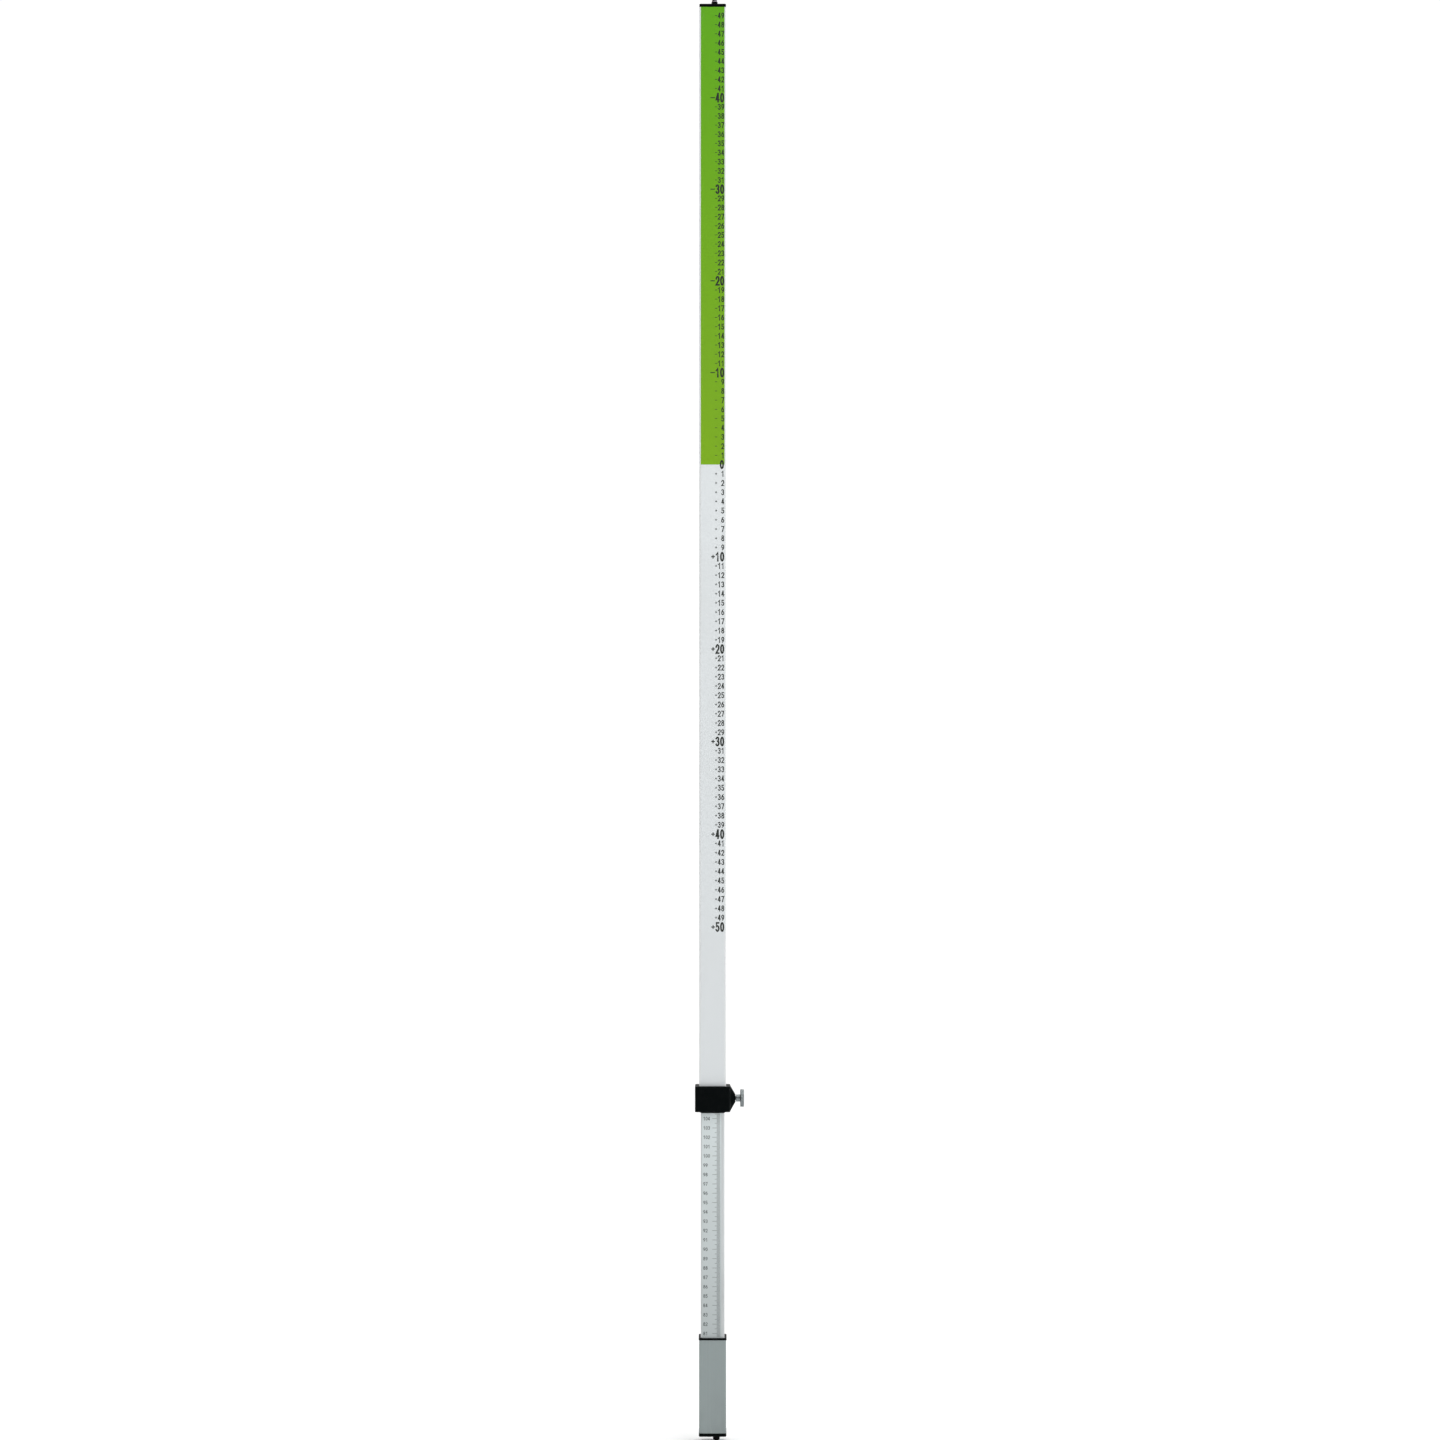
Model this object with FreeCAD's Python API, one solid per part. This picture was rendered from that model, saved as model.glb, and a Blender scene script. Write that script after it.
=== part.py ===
"""Telescopic leveling rod for use with a laser receiver.

A white rectangular sleeve, printed with a plus and minus centimetre scale about a zero mark, slides on a
graduated inner tube that stands in a short foot tube. A clamp collar on the sleeve's lower end carries a
knurled thumb screw, which presses a pad against the side of the inner tube. The collar's index edge reads, on
the inner tube, the height of the zero mark above the bottom cap's underside.

Frame: millimetres, +Z up, origin at the tip of the foot stud. The printed faces look along -Y and the thumb
screw is on the +X side. The rod is shown pulled out to rest_reading.
"""

import FreeCAD, Part
import math
import os

from FreeCAD import Vector

# ---------------------------------------------------------------- driving dimensions, millimetres
# Outer profile, shared by the sleeve and the foot tube
profile_width = 29.0
profile_depth = 38.0
profile_wall = 1.4
profile_corner = 1.8

# Inner tube and the room it runs in
inner_wall = 1.4
inner_corner = 1.6
slide_gap_side = 0.35
slide_gap_front = 0.6
slide_gap_back = 3.1

# Graduation
rest_reading = 1046.0          # height of the zero mark above the bottom cap's underside, as shown
zero_above_index = 700.0       # from the collar's index edge up to the zero mark
minus_scale_length = 499.5     # from the zero mark up to the sleeve's top end
film_thickness = 0.25
film_recess = 0.30
sleeve_film_edge = 1.6         # bare strip each side of the sleeve's film
inner_film_edge_left = 1.3
inner_film_edge_right = 3.3

# Foot
foot_stud_out = 8.0            # from the stud's tip up to the bottom cap's underside
foot_tip_radius = 1.0
foot_tip_length = 1.8          # bare steel below the boot
foot_boot_radius = 3.7
foot_boot_end_radius = 1.7
foot_boot_round = 2.6          # height of the boot's rounded end
foot_stud_offset = 4.0         # the foot stud stands this far to the +X side of the profile's axis
foot_tube_length = 99.4
foot_ring_height = 2.1
cap_flange = 3.6
cap_overhang = 0.3             # of the bottom cap; the top cap is flush with the sleeve
ring_overhang = 0.5
plug_length = 16.0
plug_wall = 1.8
plug_clearance = 0.08

# Collar
collar_height = 27.5
collar_wall = 4.5
collar_corner = 3.0
collar_edge_fillet = 0.8
seat_step = 0.30               # the sleeve's end is this much smaller all round inside the collar
seat_clearance = 0.05
ledge_height = 1.5
ledge_gap = 0.5
guide_height = 4.0
guide_clearance = 0.15
index_drop = 1.25
index_edge_thickness = 1.0
index_half_width_top = 14.0
index_half_width = 12.2
boss_height = 5.6
boss_tip_height = 7.5
boss_tip_width = 12.0
boss_base_width = 30.0

# Overlap and stops of the slide
overlap = 80.0                 # inner tube left above the index edge at the highest reading
slide_pad_length = 36.0
slide_pad_width = 18.0
stop_gap = 0.5
sleeve_end_clearance = 14.0    # above the inner tube's guide cap when the rod is closed
guide_cap_flange = 4.0
rest_on_ring_gap = 0.25

# Clamp
screw_radius = 2.5
thread_clearance = 0.05
screw_travel = 1.6             # two turns of a 0.8 mm pitch
pad_radius = 4.0
pad_thickness = 2.4
pad_gap = 0.02
pad_hole_clearance = 0.2
bead_radius = 1.75
bead_length = 0.6
bead_neck_radius = 1.4
bead_clearance = 0.1
insert_radius = 3.3
insert_flange_radius = 4.1
insert_flange = 0.5
insert_recess = 0.25
knob_gap = 0.6
knob_neck_radius = 3.9
knob_neck_length = 4.5
knob_radius = 9.5
knob_thickness = 4.2
knob_chamfer = 0.5

# Top stud
top_stud_offset = 2.0          # to the +X side of the profile's axis
top_stud_radius = 3.0
top_stud_out = 8.0             # free length above its boss
top_boss_radius = 3.4
top_boss_height = 5.7

# Shanks of both studs, and the nuts that hold them
shank_radius = 2.5
nut_flats = 8.0
nut_height = 4.0
nut_boss_wall = 2.2
nut_clearance = 0.1
stud_past_nut = 1.5

# Rivets and screws
rivet_radius = 1.6
rivet_head_radius = 3.25
rivet_head_height = 1.1
flush_head_radius = 2.6
flush_head_drop = 0.3          # a flush head sits this far under the surface
rivet_tail_radius = 2.4
rivet_tail_length = 2.5
hole_clearance = 0.05
packer_length = 66.0
packer_width = 20.0
packer_clearance = 0.05
ring_skirt_length = 12.0
collar_screw_radius = 1.5
collar_screw_head_radius = 2.9
collar_screw_spacing = 16.0

# ---------------------------------------------------------------- places worked out from them
axis_x = -foot_stud_offset                       # the profile's axis
inside_width = profile_width - 2 * profile_wall
inside_depth = profile_depth - 2 * profile_wall
inner_width = inside_width - 2 * slide_gap_side
inner_depth = inside_depth - slide_gap_front - slide_gap_back
inner_y = (slide_gap_front - slide_gap_back) / 2
inner_front = inner_y - inner_depth / 2
inner_back = inner_y + inner_depth / 2
sleeve_front = -profile_depth / 2
sleeve_back = profile_depth / 2
inside_back = inside_depth / 2

datum_z = foot_stud_out                          # the bottom cap's underside, where the height scale starts
foot_tube_bottom = datum_z + cap_flange
foot_tube_top = foot_tube_bottom + foot_tube_length
ring_top = foot_tube_top + foot_ring_height

zero_z = datum_z + rest_reading
index_z = zero_z - zero_above_index
collar_bottom = index_z + index_drop
collar_top = collar_bottom + collar_height
guide_bottom = collar_bottom + ledge_height
sleeve_bottom = guide_bottom + guide_height
sleeve_top = zero_z + minus_scale_length
top_boss_top = sleeve_top + cap_flange + top_boss_height
sleeve_top_closed = sleeve_top - (index_z - ring_top - rest_on_ring_gap)
inner_top = sleeve_top_closed - plug_length - guide_cap_flange - sleeve_end_clearance
highest_index_z = inner_top - overlap
stop_tongue_top = index_z + overlap - slide_pad_length - stop_gap

screw_z = (collar_bottom + collar_top) / 2
collar_half_width = profile_width / 2 + collar_wall
boss_tip_x = axis_x + collar_half_width + boss_height
socket_half_width = profile_width / 2 - seat_step + seat_clearance
pad_face_x = axis_x + inner_width / 2 + pad_gap
pad_back_x = pad_face_x + pad_thickness
insert_shoulder_x = pad_back_x + screw_travel + insert_flange + 0.3
knob_neck_x = boss_tip_x + knob_gap
knob_x = knob_neck_x + knob_neck_length
knob_end_x = knob_x + knob_thickness

PARTS = "parts"
ALONG_X = Vector(1, 0, 0)
ALONG_Y = Vector(0, 1, 0)
ALONG_Z = Vector(0, 0, 1)


# ---------------------------------------------------------------- shapes used by several pieces
def rounded_outline(width, depth, radius, z, y=0.0, x=axis_x):
    """A closed rectangle with rounded corners, at height z, as a wire of four lines and four arcs."""
    r = max(0.05, min(radius, 0.49 * width, 0.49 * depth))
    hw, hd = width / 2, depth / 2
    diagonal = r * (1 - math.sqrt(0.5))
    edges = []
    for k, (sx, sy) in enumerate([(1, -1), (1, 1), (-1, 1), (-1, -1)]):
        corner = Vector(x + sx * hw, y + sy * hd, z)
        first = Vector(corner.x - sx * r, corner.y, z)
        second = Vector(corner.x, corner.y - sy * r, z)
        middle = Vector(corner.x - sx * diagonal, corner.y - sy * diagonal, z)
        start, end = (first, second) if k % 2 == 0 else (second, first)
        edges.append((start, middle, end))
    outline = []
    for k, (start, middle, end) in enumerate(edges):
        outline.append(Part.Arc(start, middle, end).toShape())
        outline.append(Part.makeLine(end, edges[(k + 1) % 4][0]))
    return Part.Wire(outline)


def bar(width, depth, radius, z0, z1, y=0.0, x=axis_x):
    """An upright solid bar with rounded corners."""
    return Part.Face(rounded_outline(width, depth, radius, z0, y, x)).extrude(Vector(0, 0, z1 - z0))


def block(x0, x1, y0, y1, z0, z1):
    """A plain box between two corners."""
    return Part.makeBox(x1 - x0, y1 - y0, z1 - z0, Vector(x0, y0, z0))


def rod(radius, start, direction, length):
    """A plain cylinder from start along direction."""
    return Part.makeCylinder(radius, length, start, direction)


def hexagon(flats, z0, z1, x, y=0.0):
    """An upright hexagonal bar, flats across."""
    corner = flats / math.sqrt(3)
    points = []
    for k in range(7):
        angle = math.radians(60 * k)
        points.append(Vector(x + corner * math.cos(angle), y + corner * math.sin(angle), z0))
    return Part.Face(Part.makePolygon(points)).extrude(Vector(0, 0, z1 - z0))


def turned(outline, origin, direction):
    """A solid of revolution. outline is (distance along the axis, radius) from one end to the other."""
    side = ALONG_Y if abs(direction.y) < 0.5 else ALONG_X
    points = [origin + direction * s + side * r for s, r in outline]
    points = [origin + direction * outline[0][0]] + points + [origin + direction * outline[-1][0]]
    kept = [points[0]]
    for p in points[1:]:
        if (p - kept[-1]).Length > 1e-6:
            kept.append(p)
    face = Part.Face(Part.makePolygon(kept + [kept[0]]))
    return face.revolve(origin, direction, 360)


def one(shape):
    """The single solid of a result that should have just one."""
    solids = shape.removeSplitter().Solids
    if len(solids) != 1:
        raise RuntimeError(f"expected one solid and got {len(solids)}")
    return solids[0]


def fillet_where(shape, radius, wanted):
    """shape with every edge that wanted(edge) picks rounded to radius."""
    edges = [e for e in shape.Edges if wanted(e)]
    return shape.makeFillet(radius, edges) if edges else shape


def level(edge, z, tolerance=1e-4):
    """True for an edge that lies wholly at height z."""
    box = edge.BoundBox
    return abs(box.ZMin - z) < tolerance and abs(box.ZMax - z) < tolerance


def outside(edge, half_width, half_depth):
    """True for an edge on the outer rim of a bar that is centred on the profile's axis."""
    box = edge.BoundBox
    reach_x = max(abs(box.XMin - axis_x), abs(box.XMax - axis_x))
    reach_y = max(abs(box.YMin), abs(box.YMax))
    return reach_x > half_width - 1e-3 or reach_y > half_depth - 1e-3


# ---------------------------------------------------------------- base: inner tube and foot
def rivet(x, z, y_head, y_end, flush):
    """A blind rivet along Y: head at y_head, tail spread beyond y_end, which is nearer the profile's axis."""
    grip = y_head - y_end
    origin = Vector(x, y_head, z)
    if flush:
        outline = [(0, flush_head_radius), (flush_head_radius - rivet_radius, rivet_radius)]
    else:
        shoulder = 0.35 * rivet_head_height
        outline = [
            (-rivet_head_height, 0.45 * rivet_head_radius),
            (-shoulder, rivet_head_radius - shoulder),
            (0, rivet_head_radius),
            (0, rivet_radius),
        ]
    tail = [
        (grip, rivet_radius),
        (grip, rivet_tail_radius),
        (grip + 0.7 * rivet_tail_length, rivet_tail_radius),
        (grip + rivet_tail_length, 0.6 * rivet_radius),
    ]
    return turned(outline + tail, origin, -ALONG_Y)


def rivet_hole(x, z, y0, y1):
    """The round hole for a rivet's shank, from y0 to y1."""
    return rod(rivet_radius + hole_clearance, Vector(x, y0, z), ALONG_Y, y1 - y0)


packer_bottom = foot_tube_bottom + plug_length + 2.0
foot_rivet_places = [packer_bottom + packer_length * share for share in (0.25, 0.75)]
pad_bottom = inner_top - slide_pad_length
pad_rivet_places = [pad_bottom + slide_pad_length * share for share in (0.25, 0.62)]
pad_clearance = 0.2
pad_outer_y = inside_back - pad_clearance
guide_plug_length = slide_pad_length * 0.25


def make_inner_tube():
    """Graduated inner tube, with a shallow recess for its printed film and holes for its rivets."""
    tube = bar(inner_width, inner_depth, inner_corner, foot_tube_bottom, inner_top, inner_y)
    bore = bar(
        inner_width - 2 * inner_wall,
        inner_depth - 2 * inner_wall,
        inner_corner - inner_wall,
        foot_tube_bottom - 1,
        inner_top + 1,
        inner_y,
    )
    left = axis_x - inner_width / 2 + inner_film_edge_left
    right = axis_x + inner_width / 2 - inner_film_edge_right
    recess = block(left, right, inner_front - 1, inner_front + film_recess, ring_top, inner_top)
    tube = tube.cut(bore).cut(recess)
    for z in foot_rivet_places + pad_rivet_places:
        tube = tube.cut(rivet_hole(axis_x, z, inner_back - 2 * inner_wall, inner_back + 1))
    return one(tube)


def make_height_film():
    """Printed film of the height graduation, in the inner tube's recess."""
    fit = 0.05
    left = axis_x - inner_width / 2 + inner_film_edge_left + fit
    right = axis_x + inner_width / 2 - inner_film_edge_right - fit
    back = inner_front + film_recess
    top = highest_index_z + 10.0
    return block(left, right, back - film_thickness, back, ring_top + fit, top)


def make_inner_guide_cap():
    """Cap on the inner tube's top: its flange runs in the sleeve, its plug sits in the tube."""
    flange = bar(
        inside_width - 2 * guide_clearance,
        inside_depth - 2 * guide_clearance,
        0.6,
        inner_top,
        inner_top + guide_cap_flange,
    )
    plug = bar(
        inner_width - 2 * inner_wall - 2 * plug_clearance,
        inner_depth - 2 * inner_wall - 2 * plug_clearance,
        0.4,
        inner_top - guide_plug_length,
        inner_top,
        inner_y,
    )
    hollow = bar(
        inner_width - 2 * inner_wall - 2 * plug_wall,
        inner_depth - 2 * inner_wall - 2 * plug_wall,
        0.4,
        inner_top - guide_plug_length - 1,
        inner_top + guide_cap_flange / 2,
        inner_y,
    )
    return one(flange.fuse(plug).cut(hollow))


def make_slide_pad():
    """Pad on the inner tube's back. It fills the gap in the sleeve, and its lower end is the upper stop."""
    pad = block(
        axis_x - slide_pad_width / 2,
        axis_x + slide_pad_width / 2,
        inner_back,
        pad_outer_y,
        pad_bottom,
        inner_top,
    )
    for z in pad_rivet_places:
        sink = flush_head_radius - rivet_radius
        origin = Vector(axis_x, pad_outer_y - flush_head_drop, z)
        cone = turned(
            [(-1, rivet_radius + sink + 1 + hole_clearance), (sink, rivet_radius + hole_clearance)],
            origin,
            -ALONG_Y,
        )
        pad = pad.cut(cone).cut(rivet_hole(axis_x, z, inner_back - 1, pad_outer_y + 1))
    return one(pad)


def make_slide_pad_rivets():
    """Two flush rivets that hold the slide pad."""
    head_y = pad_outer_y - flush_head_drop
    return Part.makeCompound(
        [rivet(axis_x, z, head_y, inner_back - inner_wall, True) for z in pad_rivet_places]
    )


def make_foot_tube():
    """Short length of the outer profile round the inner tube's lower end."""
    tube = bar(profile_width, profile_depth, profile_corner, foot_tube_bottom, foot_tube_top)
    bore = bar(
        inside_width,
        inside_depth,
        profile_corner - profile_wall,
        foot_tube_bottom - 1,
        foot_tube_top + 1,
    )
    tube = tube.cut(bore)
    for z in foot_rivet_places:
        tube = tube.cut(rivet_hole(axis_x, z, inside_back - 1, sleeve_back + 1))
    return one(tube)


def make_foot_packer():
    """Packing block that fills the gap between the inner tube's back and the foot tube."""
    packer = block(
        axis_x - packer_width / 2,
        axis_x + packer_width / 2,
        inner_back + packer_clearance,
        inside_back - packer_clearance,
        packer_bottom,
        packer_bottom + packer_length,
    )
    for z in foot_rivet_places:
        packer = packer.cut(rivet_hole(axis_x, z, inner_back - 1, inside_back + 1))
    return one(packer)


def make_foot_rivets():
    """Two blind rivets through the foot tube, the packer and the inner tube's back wall."""
    return Part.makeCompound(
        [rivet(axis_x, z, sleeve_back, inner_back - inner_wall, False) for z in foot_rivet_places]
    )


def make_foot_ring():
    """Ring that closes the foot tube's top round the inner tube, with a skirt in the back gap."""
    half_width = profile_width / 2 + ring_overhang
    half_depth = profile_depth / 2 + ring_overhang
    flange = bar(2 * half_width, 2 * half_depth, profile_corner + ring_overhang, foot_tube_top, ring_top)
    flange = fillet_where(
        flange, 0.3 * foot_ring_height, lambda e: level(e, ring_top) and outside(e, half_width, half_depth)
    )
    skirt = block(
        axis_x - packer_width / 2,
        axis_x + packer_width / 2,
        inner_back + packer_clearance,
        inside_back - packer_clearance,
        foot_tube_top - ring_skirt_length,
        foot_tube_top,
    )
    opening = bar(
        inner_width + 2 * packer_clearance,
        inner_depth + 2 * packer_clearance,
        inner_corner,
        foot_tube_top - ring_skirt_length - 1,
        ring_top + 1,
        inner_y,
    )
    return one(flange.fuse(skirt).cut(opening))


def make_bottom_cap():
    """Bottom end cap: flange under the foot tube, plug in the inner tube, boss with a pocket for the nut."""
    half_width = profile_width / 2 + cap_overhang
    half_depth = profile_depth / 2 + cap_overhang
    flange = bar(
        2 * half_width, 2 * half_depth, profile_corner + cap_overhang, datum_z, foot_tube_bottom
    )
    flange = fillet_where(
        flange,
        0.25 * cap_flange,
        lambda e: level(e, datum_z) and outside(e, half_width, half_depth),
    )
    plug_width = inner_width - 2 * inner_wall - 2 * plug_clearance
    plug_depth = inner_depth - 2 * inner_wall - 2 * plug_clearance
    plug_top = foot_tube_bottom + plug_length
    plug = bar(plug_width, plug_depth, 0.4, foot_tube_bottom, plug_top, inner_y)
    hollow = bar(
        plug_width - 2 * plug_wall,
        plug_depth - 2 * plug_wall,
        0.4,
        foot_tube_bottom,
        plug_top + 1,
        inner_y,
    )
    boss_radius = nut_flats / math.sqrt(3) + nut_boss_wall
    boss_top = foot_tube_bottom + nut_height
    boss = rod(boss_radius, Vector(0, 0, foot_tube_bottom - 1), ALONG_Z, nut_height + 1)
    boss = boss.common(bar(plug_width, plug_depth, 0.4, foot_tube_bottom - 1, boss_top, inner_y))
    pocket = hexagon(nut_flats + 2 * nut_clearance, foot_tube_bottom, boss_top + 1, 0)
    hole = rod(shank_radius + hole_clearance, Vector(0, 0, 0), ALONG_Z, boss_top)
    return one(flange.fuse(plug.cut(hollow)).fuse(boss).cut(pocket).cut(hole))


def make_foot_boot():
    """Moulded boot round the foot stud under the bottom cap, rounded at its lower end."""
    steps = 6
    outline = []
    for k in range(steps + 1):
        angle = math.pi / 2 * k / steps
        radius = foot_boot_end_radius + (foot_boot_radius - foot_boot_end_radius) * math.sin(angle)
        outline.append((foot_tip_length + foot_boot_round * (1 - math.cos(angle)), radius))
    outline.append((datum_z, foot_boot_radius))
    boot = turned(outline, Vector(0, 0, 0), ALONG_Z)
    shoulder = foot_tip_length + foot_boot_round / 2
    hole = rod(shank_radius + hole_clearance, Vector(0, 0, shoulder), ALONG_Z, datum_z)
    tip_hole = rod(foot_tip_radius + hole_clearance, Vector(0, 0, 0), ALONG_Z, datum_z)
    return one(boot.cut(hole).cut(tip_hole))


def make_foot_stud():
    """Foot stud that the rod stands on: a slim flat-ended tip and a threaded shank."""
    shoulder = foot_tip_length + foot_boot_round / 2
    shank_top = foot_tube_bottom + nut_height + stud_past_nut
    outline = [
        (0, foot_tip_radius - 0.2),
        (0.2, foot_tip_radius),
        (shoulder, foot_tip_radius),
        (shoulder, shank_radius - 0.7),
        (shoulder + 0.7, shank_radius),
        (shank_top - 0.5, shank_radius),
        (shank_top, shank_radius - 0.5),
    ]
    return turned(outline, Vector(0, 0, 0), ALONG_Z)


def make_foot_stud_nut():
    """Nut in the bottom cap's pocket that holds the foot stud."""
    nut = hexagon(nut_flats, foot_tube_bottom, foot_tube_bottom + nut_height, 0)
    bore = rod(shank_radius + thread_clearance, Vector(0, 0, 0), ALONG_Z, 2 * foot_tube_bottom + 20)
    return one(nut.cut(bore))


# ---------------------------------------------------------------- sleeve
screw_hole_x = [axis_x - collar_screw_spacing / 2, axis_x + collar_screw_spacing / 2]
collar_back = profile_depth / 2 + collar_wall
collar_screw_end = inner_back + 0.6


def collar_screw_hole(x, y0, y1):
    """The round hole for one collar screw, from y0 to y1."""
    return rod(collar_screw_radius + hole_clearance, Vector(x, y0, screw_z), ALONG_Y, y1 - y0)


def make_sleeve_tube():
    """Sleeve: the long outer profile, stepped down where the collar sits, with a recess for its films."""
    seat_width = profile_width - 2 * seat_step
    seat_depth = profile_depth - 2 * seat_step
    tube = bar(profile_width, profile_depth, profile_corner, collar_top, sleeve_top)
    seat = bar(seat_width, seat_depth, profile_corner - seat_step, sleeve_bottom, collar_top)
    bore = bar(inside_width, inside_depth, profile_corner - profile_wall, sleeve_bottom - 1, sleeve_top + 1)
    half_film = profile_width / 2 - sleeve_film_edge
    recess = block(
        axis_x - half_film,
        axis_x + half_film,
        sleeve_front - 1,
        sleeve_front + film_recess,
        collar_top,
        sleeve_top + 1,
    )
    tube = tube.cut(recess).fuse(seat).cut(bore)
    pad_hole = rod(pad_radius + pad_hole_clearance, Vector(axis_x, 0, screw_z), ALONG_X, profile_width)
    tube = tube.cut(pad_hole)
    for x in screw_hole_x:
        tube = tube.cut(collar_screw_hole(x, inside_back - 1, sleeve_back + 1))
    return one(tube)


def sleeve_film(z0, z1):
    """One printed film in the sleeve's recess."""
    fit = 0.05
    half_film = profile_width / 2 - sleeve_film_edge - fit
    back = sleeve_front + film_recess
    return block(axis_x - half_film, axis_x + half_film, back - film_thickness, back, z0, z1)


def make_top_cap():
    """Top end cap: flange flush with the sleeve, hollow plug in it, and a boss for the stud."""
    half_width = profile_width / 2
    half_depth = profile_depth / 2
    flange_top = sleeve_top + cap_flange
    x = axis_x + top_stud_offset
    flange = bar(profile_width, profile_depth, profile_corner, sleeve_top, flange_top)
    flange = fillet_where(
        flange, 0.25 * cap_flange, lambda e: level(e, flange_top) and outside(e, half_width, half_depth)
    )
    plug_width = inside_width - 2 * plug_clearance
    plug_depth = inside_depth - 2 * plug_clearance
    plug = bar(plug_width, plug_depth, 0.4, sleeve_top - plug_length, sleeve_top)
    hollow = bar(
        plug_width - 2 * plug_wall, plug_depth - 2 * plug_wall, 0.4, sleeve_top - plug_length - 1, sleeve_top
    )
    nut_boss_radius = nut_flats / math.sqrt(3) + nut_boss_wall
    nut_boss = rod(nut_boss_radius, Vector(x, 0, sleeve_top - nut_height), ALONG_Z, nut_height)
    nut_boss = nut_boss.common(
        bar(plug_width, plug_depth, 0.4, sleeve_top - nut_height, sleeve_top)
    )
    pocket = hexagon(
        nut_flats + 2 * nut_clearance, sleeve_top - nut_height - 1, sleeve_top, x
    )
    boss = rod(top_boss_radius, Vector(x, 0, flange_top - 1), ALONG_Z, top_boss_height + 1)
    hole = rod(
        shank_radius + hole_clearance,
        Vector(x, 0, sleeve_top - nut_height - 1),
        ALONG_Z,
        nut_height + cap_flange + top_boss_height + 2,
    )
    return one(flange.fuse(plug.cut(hollow)).fuse(nut_boss).fuse(boss).cut(pocket).cut(hole))


def make_top_stud():
    """Stepped stud on the top cap, for a target or another accessory. Its shoulder sits on the cap's boss."""
    x = axis_x + top_stud_offset
    bottom = sleeve_top - nut_height - stud_past_nut
    shoulder = top_boss_top - bottom
    length = shoulder + top_stud_out
    chamfer = 0.5
    outline = [
        (0, shank_radius - chamfer),
        (chamfer, shank_radius),
        (shoulder, shank_radius),
        (shoulder, top_stud_radius),
        (length - chamfer, top_stud_radius),
        (length, top_stud_radius - chamfer),
    ]
    return turned(outline, Vector(x, 0, bottom), ALONG_Z)


def make_top_stud_nut():
    """Nut in the top cap's pocket that holds the stud."""
    x = axis_x + top_stud_offset
    nut = hexagon(nut_flats, sleeve_top - nut_height, sleeve_top, x)
    bore = rod(
        shank_radius + thread_clearance,
        Vector(x, 0, sleeve_top - nut_height - 1),
        ALONG_Z,
        nut_height + 2,
    )
    return one(nut.cut(bore))


def boss_outline(x, height, width):
    """A rectangle across the X axis, centred on the thumb screw's axis."""
    y0, y1 = -width / 2, width / 2
    z0, z1 = screw_z - height / 2, screw_z + height / 2
    corners = [Vector(x, y0, z0), Vector(x, y1, z0), Vector(x, y1, z1), Vector(x, y0, z1)]
    return Part.makePolygon(corners + corners[:1])


def index_outline(z, half_width, y_front):
    """A rectangle at height z, whose back edge stands just in front of the inner tube's printed face."""
    y_back = inner_front - ledge_gap
    corners = [
        Vector(axis_x - half_width, y_front, z),
        Vector(axis_x + half_width, y_front, z),
        Vector(axis_x + half_width, y_back, z),
        Vector(axis_x - half_width, y_back, z),
    ]
    return Part.makePolygon(corners + corners[:1])


def make_collar_body():
    """Clamp collar: a frame round the sleeve's end with an inner ledge, an index edge and a screw boss."""
    width = 2 * collar_half_width
    depth = profile_depth + 2 * collar_wall
    body = bar(width, depth, collar_corner, collar_bottom, collar_top)
    body = fillet_where(
        body,
        collar_edge_fillet,
        lambda e: (level(e, collar_top) or level(e, collar_bottom))
        and outside(e, collar_half_width - collar_corner, depth / 2 - collar_corner),
    )
    face_x = axis_x + collar_half_width
    base_height = collar_height - 2 * collar_edge_fillet
    boss = Part.makeLoft(
        [
            boss_outline(face_x - 1, base_height, min(boss_base_width, depth - 2 * collar_corner)),
            boss_outline(face_x, base_height, min(boss_base_width, depth - 2 * collar_corner)),
            boss_outline(boss_tip_x, boss_tip_height, boss_tip_width),
        ],
        True,
        True,
    )
    index_top_front = inner_front - ledge_gap - 4 * index_edge_thickness
    index = Part.makeLoft(
        [
            index_outline(collar_bottom + ledge_height / 2, index_half_width_top, index_top_front),
            index_outline(collar_bottom, index_half_width_top, index_top_front),
            index_outline(index_z, index_half_width, inner_front - ledge_gap - index_edge_thickness),
        ],
        True,
        True,
    )
    socket = bar(
        2 * socket_half_width,
        profile_depth - 2 * seat_step + 2 * seat_clearance,
        profile_corner - seat_step,
        guide_bottom,
        collar_top + 1,
    )
    opening = bar(
        inner_width + 2 * ledge_gap,
        inner_depth + 2 * ledge_gap,
        inner_corner,
        collar_bottom - 1,
        guide_bottom,
        inner_y,
    )
    collar = body.fuse(boss).fuse(index).cut(socket).cut(opening)
    pocket = rod(
        pad_radius + pad_hole_clearance,
        Vector(axis_x, 0, screw_z),
        ALONG_X,
        insert_shoulder_x - axis_x,
    )
    insert_hole = rod(insert_radius, Vector(axis_x, 0, screw_z), ALONG_X, boss_tip_x - axis_x + 1)
    collar = collar.cut(pocket).cut(insert_hole)
    for x in screw_hole_x:
        sink = turned(
            [
                (-1, collar_screw_head_radius + 1 + hole_clearance),
                (collar_screw_head_radius - collar_screw_radius, collar_screw_radius + hole_clearance),
            ],
            Vector(x, collar_back, screw_z),
            -ALONG_Y,
        )
        collar = collar.cut(sink).cut(collar_screw_hole(x, 0, collar_back + 1))
    return one(collar)


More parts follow.
